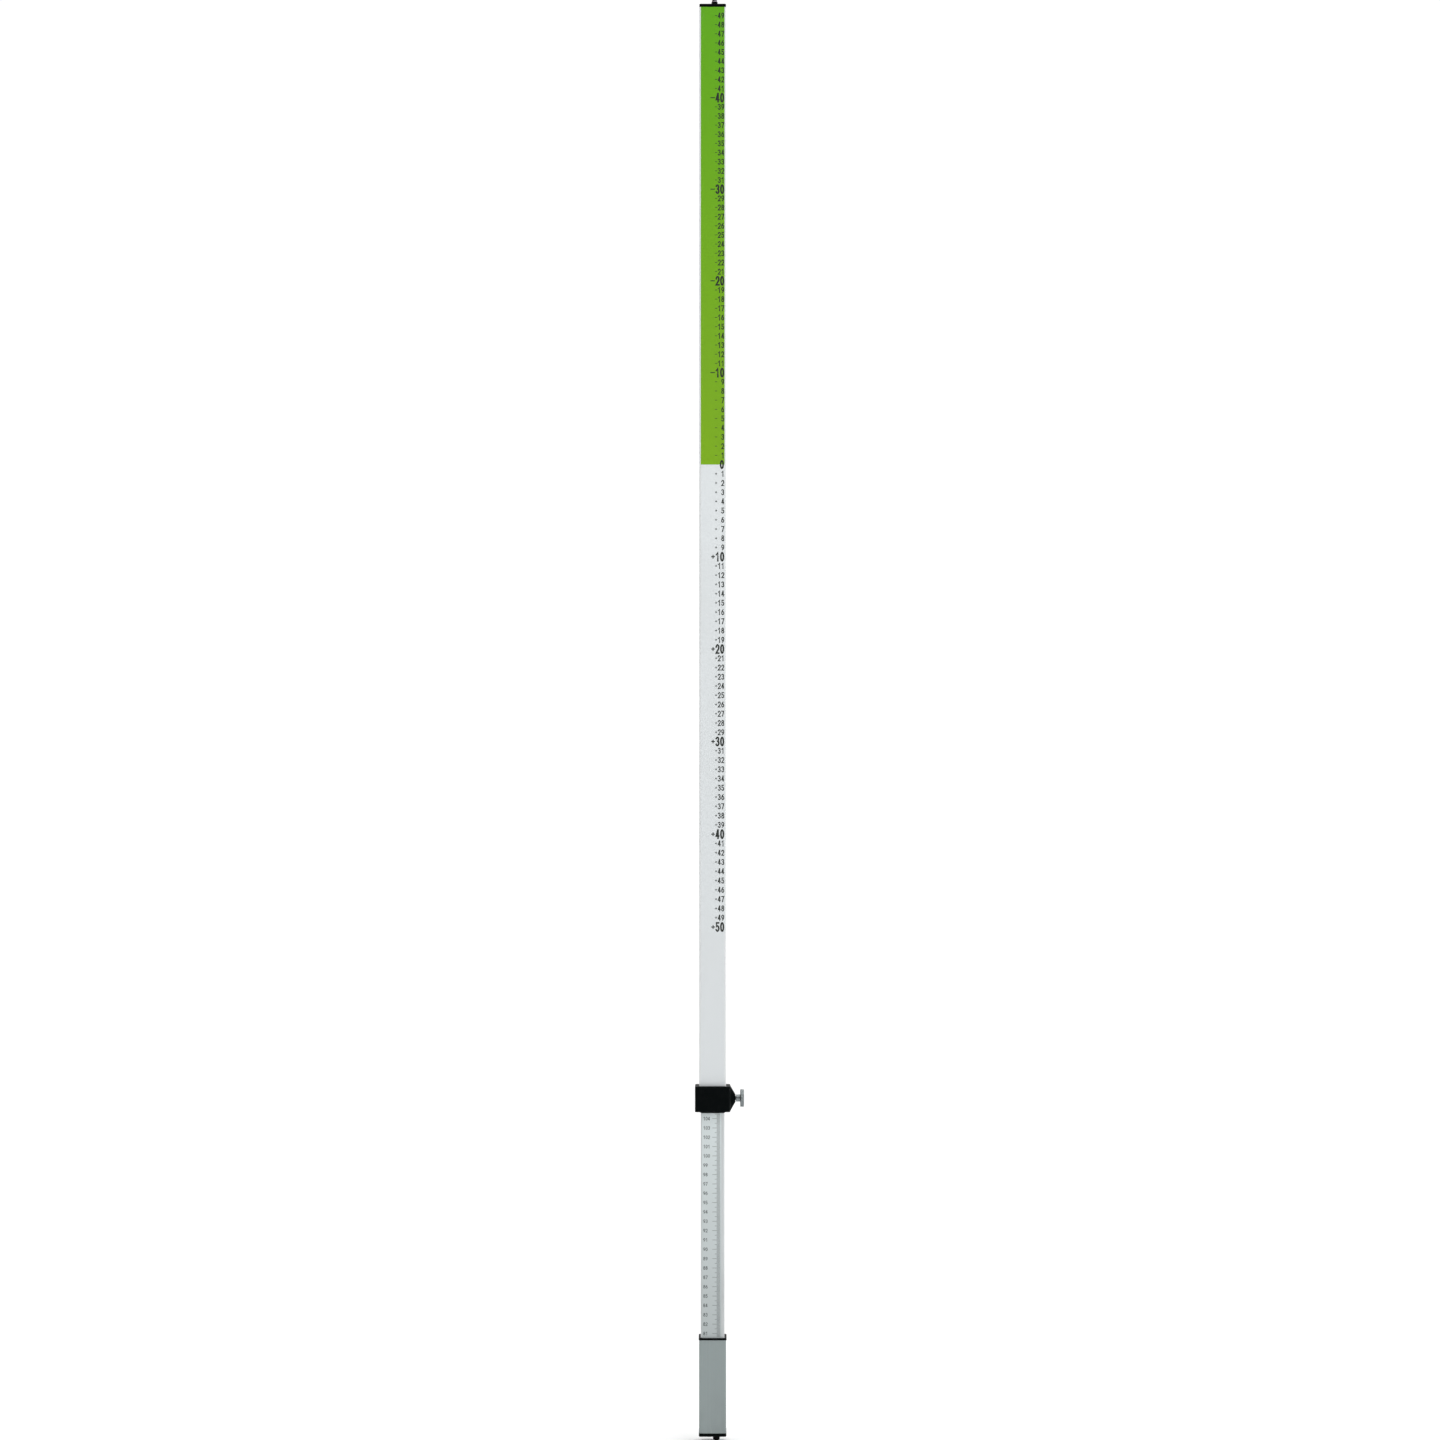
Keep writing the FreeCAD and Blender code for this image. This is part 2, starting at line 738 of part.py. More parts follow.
def make_collar_guide():
    """Slide bush under the sleeve's end; its tongue backs the collar screws and is the upper stop."""
    ring = bar(
        profile_width - 2 * seat_step,
        profile_depth - 2 * seat_step,
        profile_corner - seat_step,
        guide_bottom,
        sleeve_bottom,
    )
    tongue = block(
        axis_x - slide_pad_width / 2 - collar_screw_radius,
        axis_x + slide_pad_width / 2 + collar_screw_radius,
        inner_back,
        inside_back - packer_clearance,
        sleeve_bottom - 1,
        stop_tongue_top,
    )
    opening = bar(
        inner_width + 2 * guide_clearance,
        inner_depth + 2 * guide_clearance,
        inner_corner,
        guide_bottom - 1,
        stop_tongue_top + 1,
        inner_y,
    )
    guide = ring.fuse(tongue).cut(opening)
    for x in screw_hole_x:
        guide = guide.cut(collar_screw_hole(x, inner_back - 1, inside_back + 1))
    return one(guide)


def make_collar_screws():
    """Two countersunk screws that hold collar, sleeve and guide together."""
    screws = []
    for x in screw_hole_x:
        length = collar_back - collar_screw_end
        outline = [
            (0, collar_screw_head_radius),
            (collar_screw_head_radius - collar_screw_radius, collar_screw_radius),
            (length - 1, collar_screw_radius),
            (length, collar_screw_radius - 0.7),
        ]
        screw = turned(outline, Vector(x, collar_back, screw_z), -ALONG_Y)
        slot = 0.45
        reach = 0.62 * collar_screw_head_radius
        depth = 1.0
        y0, y1 = collar_back - depth, collar_back + 1
        for hx, hz in ((reach, slot), (slot, reach)):
            screw = screw.cut(block(x - hx, x + hx, y0, y1, screw_z - hz, screw_z + hz))
        screws.append(screw)
    return Part.makeCompound(screws)


def make_threaded_insert():
    """Threaded bush in the boss, put in from the sleeve's side and held by its flange."""
    end = boss_tip_x - insert_recess
    outline = [
        (insert_shoulder_x - insert_flange, insert_flange_radius),
        (insert_shoulder_x, insert_flange_radius),
        (insert_shoulder_x, insert_radius),
        (end, insert_radius),
    ]
    bush = turned(outline, Vector(0, 0, screw_z), ALONG_X)
    bore = rod(screw_radius + thread_clearance, Vector(axis_x, 0, screw_z), ALONG_X, 3 * profile_width)
    return one(bush.cut(bore))


# ---------------------------------------------------------------- clamp
bead_neck_length = bead_length


def make_clamp_pad():
    """Pressure pad that bears on the inner tube's side, with a stepped recess for the screw's bead."""
    pad = rod(pad_radius, Vector(pad_face_x, 0, screw_z), ALONG_X, pad_thickness)
    depth = bead_length + bead_neck_length
    recess = rod(
        bead_radius + bead_clearance,
        Vector(pad_back_x - depth - bead_clearance, 0, screw_z),
        ALONG_X,
        bead_length + 2 * bead_clearance,
    )
    mouth = rod(
        bead_neck_radius + bead_clearance,
        Vector(pad_back_x - depth, 0, screw_z),
        ALONG_X,
        depth + 1,
    )
    return one(pad.cut(recess).cut(mouth))


def make_thumb_screw():
    """Knurled thumb screw: bead, neck, threaded shank, shoulder and round head, in one piece."""
    shank_x = pad_back_x + bead_clearance
    bead_x = pad_back_x - bead_length - bead_neck_length
    outline = [
        (bead_x, bead_radius),
        (bead_x + bead_length, bead_radius),
        (bead_x + bead_length, bead_neck_radius),
        (shank_x, bead_neck_radius),
        (shank_x, screw_radius),
        (knob_neck_x, screw_radius),
        (knob_neck_x, knob_neck_radius),
        (knob_x, knob_neck_radius),
        (knob_x, knob_radius - knob_chamfer),
        (knob_x + knob_chamfer, knob_radius),
        (knob_end_x - knob_chamfer, knob_radius),
        (knob_end_x, knob_radius - knob_chamfer),
    ]
    return turned(outline, Vector(0, 0, screw_z), ALONG_X)


def main():
    film_bottom = collar_top + 0.2
    pieces = {
        "inner_tube": make_inner_tube(),
        "height_scale_film": make_height_film(),
        "inner_guide_cap": make_inner_guide_cap(),
        "slide_pad": make_slide_pad(),
        "slide_pad_rivets": make_slide_pad_rivets(),
        "foot_tube": make_foot_tube(),
        "foot_packer": make_foot_packer(),
        "foot_rivets": make_foot_rivets(),
        "foot_ring": make_foot_ring(),
        "bottom_cap": make_bottom_cap(),
        "foot_boot": make_foot_boot(),
        "foot_stud": make_foot_stud(),
        "foot_stud_nut": make_foot_stud_nut(),
        "sleeve_tube": make_sleeve_tube(),
        "minus_scale_film": sleeve_film(zero_z, sleeve_top),
        "plus_scale_film": sleeve_film(film_bottom, zero_z),
        "top_cap": make_top_cap(),
        "top_stud": make_top_stud(),
        "top_stud_nut": make_top_stud_nut(),
        "collar_body": make_collar_body(),
        "collar_guide": make_collar_guide(),
        "collar_screws": make_collar_screws(),
        "threaded_insert": make_threaded_insert(),
        "clamp_pad": make_clamp_pad(),
        "thumb_screw": make_thumb_screw(),
    }
    os.makedirs(PARTS, exist_ok=True)
    for name, shape in pieces.items():
        bad = [s for s in shape.Solids if not s.isValid() or s.Volume <= 0]
        if bad or not shape.Solids:
            raise RuntimeError(f"{name} isn't a valid solid")
        shape.exportStep(os.path.join(PARTS, name + ".step"))
        print(f"{name}: {len(shape.Solids)} solid(s), {shape.Volume:.1f} mm3")
    print(f"highest reading {highest_index_z + zero_above_index:.1f} mm")
    print(f"slide down {index_z - ring_top - rest_on_ring_gap:.2f} mm, up {highest_index_z - index_z:.2f} mm")
    print(f"screw axis at {screw_z:.2f} mm, top boss ends at {top_boss_top:.2f} mm")


main()
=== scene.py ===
"""Looks of the telescopic leveling rod: printed figures, finishes, knurl and threads, and the stage.

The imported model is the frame. Every piece here is placed from the boxes of its nodes, in metres.
"""

import math

import bpy
import numpy as np
from bpy.props import FloatProperty, FloatVectorProperty, IntProperty, PointerProperty
from bpy.types import Operator, Panel, PropertyGroup
from mathutils.geometry import delaunay_2d_cdt
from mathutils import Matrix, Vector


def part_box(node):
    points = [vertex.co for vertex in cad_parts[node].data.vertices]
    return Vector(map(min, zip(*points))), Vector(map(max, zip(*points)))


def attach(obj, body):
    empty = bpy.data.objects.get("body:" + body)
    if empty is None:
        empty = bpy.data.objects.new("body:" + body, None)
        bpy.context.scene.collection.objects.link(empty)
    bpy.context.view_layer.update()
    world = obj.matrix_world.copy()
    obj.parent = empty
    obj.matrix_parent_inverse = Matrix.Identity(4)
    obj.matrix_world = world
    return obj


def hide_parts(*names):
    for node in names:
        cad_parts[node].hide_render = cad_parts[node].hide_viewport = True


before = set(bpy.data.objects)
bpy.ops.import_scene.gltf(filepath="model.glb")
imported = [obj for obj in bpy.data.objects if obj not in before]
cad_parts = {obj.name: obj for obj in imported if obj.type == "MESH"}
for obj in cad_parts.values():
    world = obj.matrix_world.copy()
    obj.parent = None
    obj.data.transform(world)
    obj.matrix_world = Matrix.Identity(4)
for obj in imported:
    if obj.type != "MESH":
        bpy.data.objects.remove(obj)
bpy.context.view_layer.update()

bl_info = {
    "name": "Leveling Rod Looks",
    "version": (1, 0, 0),
    "blender": (4, 5, 0),
    "location": "3D View > Sidebar > Leveling Rod",
    "description": "Prints the scales of a telescopic leveling rod and finishes its tubes, collar and screws",
    "category": "Object",
}

MM = 0.001
CENTIMETRE = 10 * MM

# widths and gaps of the printed characters
DECADE_WIDTH = 4.5 * MM
DECADE_GAP = 0.5 * MM
DECADE_MINUS = (4.9 * MM, 1.0 * MM)     # width, line
DECADE_PLUS = (4.0 * MM, 1.15 * MM)     # width, line
DECADE_SIGN_GAP = 0.55 * MM
FIGURE_WIDTH = 3.2 * MM
FIGURE_GAP = 0.55 * MM
SIGN_OFFSET = 2.5 * MM                  # from the rod's axis to an ordinary sign's left end
SIGN_WIDTH = 2.4 * MM
SIGN_LINE = 0.62 * MM
ZERO_SHARE = 0.93                       # the zero's height as a share of a decade's
ZERO_SHIFT = 0.3 * MM
LAST_PLUS = 50
HEIGHT_WIDTH = 2.15 * MM
HEIGHT_GAP = 0.35 * MM
HEIGHT_LINE = 0.54 * MM
HEIGHT_LEFT = 2.7 * MM                  # from the inner tube's left side to the figures
LINE_END = 20.7 * MM                    # from the same side to the right end of the graduation lines
LINE_LENGTHS = {10: 8.3 * MM, 5: 5.6 * MM, 1: 3.6 * MM}
FILM_EDGE = 1.2 * MM                    # bare film past the first and last line
FIGURE_EDGE = 3 * MM                    # bare film past the first and last figure

# the thumb screw, from its outer end inwards
HEAD_LENGTH = 4.2 * MM
NECK_LENGTH = 4.5 * MM
NECK_RADIUS = 3.9 * MM
KNURL_EDGE = 0.55 * MM                  # plain rim beside the knurl
KNURL_RISE = 1.06 * MM                  # along the axis for one tooth round
SHANK_RADIUS = 2.5 * MM
SHANK_THREAD_DEPTH = 0.42 * MM
STUD_RADIUS = 3.0 * MM
STUD_THREAD_DEPTH = 0.5 * MM

# the stage, in metres
FLOOR_HALF = 12.0
LIGHT_PLACE = (2.2, -4.2, 2.2)
LIGHT_TARGET = (0.0, 0.0, 0.8)
LIGHT_SIZE = 2.2
SENSOR_WIDTH = 36.0                     # of the camera, in millimetres
SIGHT_LIMIT = 100.0

# triangulation of the characters, in millimetres
INSIDE_TRIANGLES = 1
SLIVER_AREA = 1e-4
MERGE_DISTANCE = 1e-5


# ---------------------------------------------------------------- places read from the frame
def low(node):
    """The lowest corner of a node's box, in metres."""
    return np.array(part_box(node)[0], float)


def high(node):
    """The highest corner of a node's box, in metres."""
    return np.array(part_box(node)[1], float)


ROD_AXIS_X = float(low("sleeve_tube")[0] + high("sleeve_tube")[0]) / 2
ZERO_MARK_Z = float(high("plus_scale_film")[2])
INDEX_Z = float(low("collar_body")[2])
DATUM_Z = float(low("bottom_cap")[2])
REST_READING = ZERO_MARK_Z - DATUM_Z
CAMERA_HEIGHT = 0.6316
CAMERA_DISTANCE = 3.979


# ---------------------------------------------------------------- settings a user would change
class RodPrintSettings(PropertyGroup):
    """Sizes of the printed figures and graduation lines."""

    figure_height: FloatProperty(
        name="Figure height", description="Height of an ordinary centimetre figure on the sleeve",
        default=6.6 * MM, min=0.001, unit="LENGTH",
    )
    decade_height: FloatProperty(
        name="Decade height", description="Height of the bold figure at every tenth centimetre",
        default=10.6 * MM, min=0.001, unit="LENGTH",
    )
    figure_line: FloatProperty(
        name="Figure line", description="Line width of an ordinary figure on the sleeve",
        default=1.05 * MM, min=0.0001, unit="LENGTH",
    )
    decade_line: FloatProperty(
        name="Decade line", description="Line width of a bold figure on the sleeve",
        default=1.75 * MM, min=0.0001, unit="LENGTH",
    )
    figure_margin: FloatProperty(
        name="Figure margin", description="From the rod's axis to the right edge of the sleeve's figures",
        default=12.5 * MM, min=0.0, unit="LENGTH",
    )
    height_figure: FloatProperty(
        name="Height figure", description="Height of a figure on the inner tube",
        default=3.9 * MM, min=0.001, unit="LENGTH",
    )
    height_line: FloatProperty(
        name="Graduation line", description="Thickness of a graduation line on the inner tube",
        default=0.32 * MM, min=0.00005, unit="LENGTH",
    )
    ink_thickness: FloatProperty(
        name="Ink thickness", description="How far the print stands above its film",
        default=0.02 * MM, min=0.000005, unit="LENGTH",
    )


class RodFinishSettings(PropertyGroup):
    """Colours of the finishes."""

    green_low: FloatVectorProperty(
        name="Green, at the zero mark", description="Colour of the minus film beside the zero mark",
        default=(0.205, 0.418, 0.008), min=0.0, max=1.0, subtype="COLOR",
    )
    green_high: FloatVectorProperty(
        name="Green, at the top", description="Colour of the minus film at the top cap",
        default=(0.114, 0.395, 0.008), min=0.0, max=1.0, subtype="COLOR",
    )
    white_film: FloatVectorProperty(
        name="White film", description="Colour of the plus film",
        default=(0.755, 0.790, 0.805), min=0.0, max=1.0, subtype="COLOR",
    )
    white_coat: FloatVectorProperty(
        name="White coat", description="Colour of the sleeve's powder coat",
        default=(0.760, 0.780, 0.785), min=0.0, max=1.0, subtype="COLOR",
    )
    height_film: FloatVectorProperty(
        name="Height film", description="Colour of the inner tube's film",
        default=(0.655, 0.715, 0.722), min=0.0, max=1.0, subtype="COLOR",
    )
    foot_grey: FloatVectorProperty(
        name="Foot tube", description="Colour of the foot tube's anodising",
        default=(0.310, 0.358, 0.358), min=0.0, max=1.0, subtype="COLOR",
    )
    moulding_black: FloatVectorProperty(
        name="Mouldings", description="Colour of the collar, ring and caps",
        default=(0.0008, 0.0018, 0.0020), min=0.0, max=1.0, subtype="COLOR",
    )
    ink_black: FloatVectorProperty(
        name="Ink", description="Colour of the printed figures",
        default=(0.012, 0.016, 0.012), min=0.0, max=1.0, subtype="COLOR",
    )


class RodHardwareSettings(PropertyGroup):
    """Sizes of the knurl and the threads."""

    knurl_teeth: IntProperty(
        name="Knurl teeth", description="Teeth round the thumb screw's head", default=56, min=12,
    )
    knurl_depth: FloatProperty(
        name="Knurl depth", description="Depth of the knurl's grooves",
        default=0.28 * MM, min=0.0, unit="LENGTH",
    )
    clamp_pitch: FloatProperty(
        name="Clamp thread pitch", description="Pitch of the thumb screw's thread",
        default=0.8 * MM, min=0.0001, unit="LENGTH",
    )
    stud_pitch: FloatProperty(
        name="Stud thread pitch", description="Pitch of the top stud's thread",
        default=1.0 * MM, min=0.0001, unit="LENGTH",
    )


class RodStageSettings(PropertyGroup):
    """Where the camera stands and how bright the lights are."""

    camera_distance: FloatProperty(
        name="Camera distance", description="From the camera to the rod's axis",
        default=CAMERA_DISTANCE, min=0.1, unit="LENGTH",
    )
    camera_height: FloatProperty(
        name="Camera height", description="Height of the camera above the foot",
        default=CAMERA_HEIGHT, unit="LENGTH",
    )
    camera_side: FloatProperty(
        name="Camera side step", description="Camera's place along X",
        default=3.93 * MM, unit="LENGTH",
    )
    camera_tilt: FloatProperty(
        name="Camera tilt", description="How far the camera looks up",
        default=math.radians(2.106), subtype="ANGLE",
    )
    lens: FloatProperty(
        name="Lens", description="Focal length on a 36 mm sensor, in millimetres", default=91.73, min=1.0,
    )
    backdrop: FloatProperty(
        name="Backdrop", description="Brightness of the surround that the camera sees", default=1.03, min=0.0,
    )
    surround_front: FloatProperty(
        name="Room in front", description="Brightness of the room in front of the rod", default=0.26, min=0.0,
    )
    surround_back: FloatProperty(
        name="Room behind", description="Brightness of the room behind the rod", default=0.78, min=0.0,
    )
    surround_side: FloatProperty(
        name="Side difference",
        description="How much brighter the right side of the room is, and darker the left",
        default=0.24, min=0.0,
    )
    surround_above: FloatProperty(
        name="Overhead", description="Extra brightness straight above", default=1.4, min=0.0,
    )
    front_watts: FloatProperty(
        name="Front light", description="Power of the large light beside the camera", default=42.0, min=0.0,
    )


# ---------------------------------------------------------------- shader nodes as expressions
class Wire:
    """One output socket of a finish's node tree. Arithmetic on wires adds Math nodes."""

    def __init__(self, finish, socket):
        self.finish = finish
        self.socket = socket

    def maths(self, operation, *others, first=None):
        """A Math node of this wire and others; first stands before it, for a reflected form."""
        values = ([] if first is None else [first]) + [self, *others]
        return self.finish.add("ShaderNodeMath", {"operation": operation}, dict(enumerate(values)))

    def __add__(self, other):
        return self.maths("ADD", other)

    __radd__ = __add__

    def __mul__(self, other):
        return self.maths("MULTIPLY", other)

    __rmul__ = __mul__

    def __sub__(self, other):
        return self.maths("SUBTRACT", other)

    def __rsub__(self, other):
        return self.maths("SUBTRACT", first=other)

    def __truediv__(self, other):
        return self.maths("DIVIDE", other)

    def __abs__(self):
        return self.maths("ABSOLUTE")

    def power(self, exponent):
        """This wire to a power."""
        return self.maths("POWER", exponent)


class Graph:
    """A shader node tree under construction."""

    def __init__(self, tree):
        self.tree = tree
        self.tree.nodes.clear()

    def add(self, kind, settings=None, inputs=None, output=0):
        """Any node: its settings first, then its sockets from values or wires. Gives back one output."""
        node = self.tree.nodes.new(kind)
        for key, value in (settings or {}).items():
            setattr(node, key, value)
        for key, value in (inputs or {}).items():
            if isinstance(value, Wire):
                self.tree.links.new(value.socket, node.inputs[key])
            else:
                node.inputs[key].default_value = value
        return Wire(self, node.outputs[output]) if len(node.outputs) else None

    def parts(self, wire):
        """X, Y and Z of a vector as three wires."""
        split = self.tree.nodes.new("ShaderNodeSeparateXYZ")
        self.tree.links.new(wire.socket, split.inputs[0])
        return [Wire(self, socket) for socket in split.outputs]

    def band(self, wire, start, end, low_value=0.0, high_value=1.0):
        """low_value where the wire is at start, high_value where it is at end, a straight change between."""
        return self.add(
            "ShaderNodeMapRange", {"clamp": True},
            {"Value": wire, "From Min": start, "From Max": end, "To Min": low_value, "To Max": high_value},
        )


class Finish(Graph):
    """A material under construction: its node tree, its Object coordinates and its shader."""

    def __init__(self, name):
        self.material = bpy.data.materials.new(name)
        self.material.use_nodes = True
        super().__init__(self.material.node_tree)
        self.place = self.add("ShaderNodeTexCoord", output="Object")
        self.x, self.y, self.z = self.parts(self.place)

    def noise(self, size, detail=2.0, roughness=0.5, stretch=(1.0, 1.0, 1.0), shift=0.0):
        """Noise from 0 to 1 whose blobs are about size metres across, longer along an axis with stretch."""
        scale = tuple(1.0 / (size * s) for s in stretch)
        mapped = self.add(
            "ShaderNodeMapping", {"vector_type": "POINT"},
            {"Vector": self.place, "Scale": scale, "Location": (shift, shift * 0.7, shift * 1.3)},
        )
        return self.add(
            "ShaderNodeTexNoise", {"noise_dimensions": "3D"},
            {"Vector": mapped, "Scale": 1.0, "Detail": detail, "Roughness": roughness},
        )

    def mix(self, share, first, second):
        """Colour mix of two colours or wires."""
        node = self.tree.nodes.new("ShaderNodeMix")
        node.data_type = "RGBA"
        for socket, value in ((0, share), (6, first), (7, second)):
            if isinstance(value, Wire):
                self.tree.links.new(value.socket, node.inputs[socket])
            elif socket == 0:
                node.inputs[socket].default_value = value
            else:
                node.inputs[socket].default_value = (*value[:3], 1.0)
        return Wire(self, node.outputs[2])

    def bump(self, height, depth):
        """Normal from a height wire, where 1 stands depth metres above 0."""
        return self.add("ShaderNodeBump", None, {"Height": height, "Distance": depth, "Strength": 1.0})

    def surface(self, **inputs):
        """The principled shader and the output. Keyword names are socket names with _ for a space."""
        named = {key.replace("_", " "): value for key, value in inputs.items()}
        shader = self.add("ShaderNodeBsdfPrincipled", None, named)
        self.add("ShaderNodeOutputMaterial", None, {"Surface": shader})
        return self.material


def dress(material, *nodes):
    """Gives each CAD node this one material."""
    for name in nodes:
        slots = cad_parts[name].data.materials
        slots.clear()
        slots.append(material)


# ---------------------------------------------------------------- finishes
def scratches(finish, size, amount, shift):
    """Thin upright scratches, 0 to 1: the narrow band where a stretched noise crosses its middle."""
    field = finish.noise(size, detail=0.0, stretch=(1.0, 1.0, 45.0), shift=shift)
    line = 1.0 - finish.band(abs(field - 0.5), 0.0, 0.005)
    patch = finish.band(finish.noise(size * 3.1, detail=1.0, shift=shift + 3.0), 1.0 - amount, 1.0)
    return line * patch


def powder_coat(colour):
    """White powder coat: orange peel, slight handling dirt, thin scratches and painted shade darker towards
    its lower end.
    """
    f = Finish("Sleeve powder coat")
    peel = f.noise(1.6 * MM, detail=2.0)
    dirt = f.band(f.noise(38 * MM, detail=4.0, stretch=(1, 1, 3)), 0.46, 0.80)
    # painted shade: the coat turns greyer towards its lower end above the collar
    lower = 1.0 - f.band(f.z, INDEX_Z + 0.02, INDEX_Z + 0.22)
    marks = scratches(f, 9 * MM, 0.42, 1.0)
    # the grey stands for real dirt in the dirt patches and for painted shade at the lower end
    shade = f.mix(dirt * 0.10 + lower * 0.05, colour, (0.46, 0.47, 0.45))
    shade = f.mix(marks * 0.5, shade, (0.40, 0.41, 0.42))
    rough = 0.36 + dirt * 0.16 + peel * 0.06
    return f.surface(
        Base_Color=shade, Roughness=rough, Normal=f.bump(peel, 0.018 * MM), Specular_IOR_Level=0.45
    )


def printed_film(name, colour_low, colour_high, z_low, z_high, gloss, dirt_colour):
    """Printed film: a slow fade along its length, fine print grain, rubbed patches and thin scratches."""
    f = Finish(name)
    # on the white and height films the lower colour is a darker copy of the upper: painted shade towards
    # their lower ends
    fade = f.band(f.z, z_low, z_high)
    grain = f.noise(0.5 * MM, detail=2.0, shift=2.0)
    cloud = f.noise(55 * MM, detail=3.0, stretch=(1, 1, 2.6), shift=5.0)
    marks = scratches(f, 7 * MM, 0.45, 4.0)
    shade = f.mix(fade, colour_low, colour_high)
    shade = f.mix(f.band(cloud, 0.48, 0.85) * 0.14, shade, dirt_colour)
    shade = f.mix(grain * 0.05, shade, dirt_colour)
    shade = f.mix(marks * 0.35, shade, (0.62, 0.64, 0.62))
    rough = gloss + cloud * 0.12 + marks * 0.2
    return f.surface(
        Base_Color=shade, Roughness=rough, Normal=f.bump(f.noise(3 * MM, shift=8.0), 0.006 * MM),
        Specular_IOR_Level=0.25,
    )


def drawn_metal(name, colour, shine, painted_shade_span, groove=0.012):
    """Anodised extrusion: long fine die lines along the tube, cloudy anodising and painted shade on a darker,
    rougher lower end.
    """
    f = Finish(name)
    lines = f.noise(0.22 * MM, detail=3.0, roughness=0.6, stretch=(1, 1, 900), shift=1.0)
    broad = f.noise(1.4 * MM, detail=1.0, stretch=(1, 1, 500), shift=6.0)
    cloud = f.noise(30 * MM, detail=4.0, stretch=(1, 1, 2), shift=2.0)
    # painted shade: darker towards the lower end of the span, broken into cloudy patches; that end is also
    # made rougher
    painted_low_shade = (1.0 - f.band(f.z, painted_shade_span[0], painted_shade_span[1])) * f.band(cloud, 0.30, 0.75)
    marks = scratches(f, 8 * MM, 0.5, 9.0)
    dark = tuple(0.55 * c for c in colour)
    shade = f.mix(lines * 0.22 + broad * 0.10, colour, dark)
    shade = f.mix(f.band(cloud, 0.45, 0.80) * 0.10, shade, dark)
    # the near-black colour here is the painted shade's
    shade = f.mix(painted_low_shade * 0.38, shade, (0.11, 0.105, 0.095))
    shade = f.mix(marks * 0.6, shade, (0.66, 0.67, 0.68))
    rough = shine + lines * 0.14 + painted_low_shade * 0.22
    return f, shade, rough, f.bump(lines, groove * MM)


def moulded_plastic(name, colour, grain_size=0.45, rough=0.46, worn_and_highlit_heights=()):
    """Black moulding: fine spark-eroded grain, dust in the grain, and edges at given heights lighter grey in
    patches, part rubbed wear and part painted highlight.
    """
    f = Finish(name)
    grain = f.noise(grain_size * MM, detail=3.0)
    dust = f.band(f.noise(6 * MM, detail=4.0, shift=3.0), 0.50, 0.85)
    marks = scratches(f, 5 * MM, 0.5, 7.0)
    shade = f.mix(dust * 0.010 + grain * 0.003, colour, (0.20, 0.20, 0.19))
    for height in worn_and_highlit_heights:
        # lighter grey edge patches: part rubbed wear, part painted edge highlight
        edge = 1.0 - f.band(abs(f.z - height), 0.0, 0.4 * MM)
        rub = f.band(f.noise(2.2 * MM, detail=3.0, shift=height * 50), 0.52, 0.72)
        shade = f.mix(edge * rub * 0.22, shade, (0.16, 0.16, 0.16))
    shade = f.mix(marks * 0.18, shade, (0.16, 0.16, 0.16))
    return f.surface(
        Base_Color=shade, Roughness=rough + dust * 0.2, Normal=f.bump(grain, 0.02 * MM),
        Specular_IOR_Level=0.035,
    )


def turned_metal(name, colour, shine, centre, ring_size=0.25):
    """Plated turned metal: rings about an axis along X through centre, and small stains."""
    f = Finish(name)
    dy, dz = f.y - centre[1], f.z - centre[2]
    radius = (dy * dy + dz * dz).power(0.5)
    rings = f.add(
        "ShaderNodeTexNoise", {"noise_dimensions": "1D"},
        {"W": radius / (ring_size * MM), "Scale": 1.0, "Detail": 2.0},
    )
    stain = f.band(f.noise(2.5 * MM, detail=4.0, shift=1.5), 0.50, 0.80)
    dark = tuple(0.45 * c for c in colour)
    shade = f.mix(stain * 0.35 + rings * 0.10, colour, dark)
    return f.surface(
        Base_Color=shade, Metallic=1.0, Roughness=shine + rings * 0.12 + stain * 0.15,
        Normal=f.bump(rings, 0.008 * MM),
    )


def plain_metal(name, colour, shine, metallic=1.0):
    """Small metal part: fine grain and stains."""
    f = Finish(name)
    grain = f.noise(0.35 * MM, detail=3.0)
    stain = f.band(f.noise(2.0 * MM, detail=4.0, shift=2.5), 0.48, 0.80)
    shade = f.mix(stain * 0.4, colour, tuple(0.4 * c for c in colour))
    return f.surface(
        Base_Color=shade, Metallic=metallic, Roughness=shine + grain * 0.15 + stain * 0.15,
        Normal=f.bump(grain, 0.008 * MM),
    )


def print_ink(colour):
    """Printing ink, a little worn."""
    f = Finish("Print ink")
    wear = f.band(f.noise(1.1 * MM, detail=4.0), 0.60, 0.78)
    shade = f.mix(wear * 0.16, colour, (0.30, 0.32, 0.28))
    return f.surface(Base_Color=shade, Roughness=0.5 + wear * 0.1, Specular_IOR_Level=0.35)


# ---------------------------------------------------------------- meshes from arrays
def grid_faces(rows, columns, wrap_rows=False, wrap_columns=False, first=0):
    """Quads of a rows by columns grid of vertices, as whole arrays; wrapping joins the last to the first."""
    i, j = np.meshgrid(
        np.arange(rows if wrap_rows else rows - 1),
        np.arange(columns if wrap_columns else columns - 1),
        indexing="ij",
    )
    i, j = i.ravel(), j.ravel()
    i2, j2 = (i + 1) % rows, (j + 1) % columns
    return np.stack([i * columns + j, i * columns + j2, i2 * columns + j2, i2 * columns + j], axis=1) + first


def mesh_piece(name, vertices, faces, material, smooth_angle=None):
    """An object from arrays of vertices and faces, with its normals pointing out."""
    mesh = bpy.data.meshes.new(name)
    mesh.from_pydata(np.asarray(vertices).tolist(), [], [list(face) for face in faces])
    mesh.materials.append(material)
    if smooth_angle is not None:
        mesh.shade_smooth()
        mesh.set_sharp_from_angle(angle=smooth_angle)
    mesh.validate()
    mesh.update()
    piece = bpy.data.objects.new(name, mesh)
    bpy.context.scene.collection.objects.link(piece)
    return piece


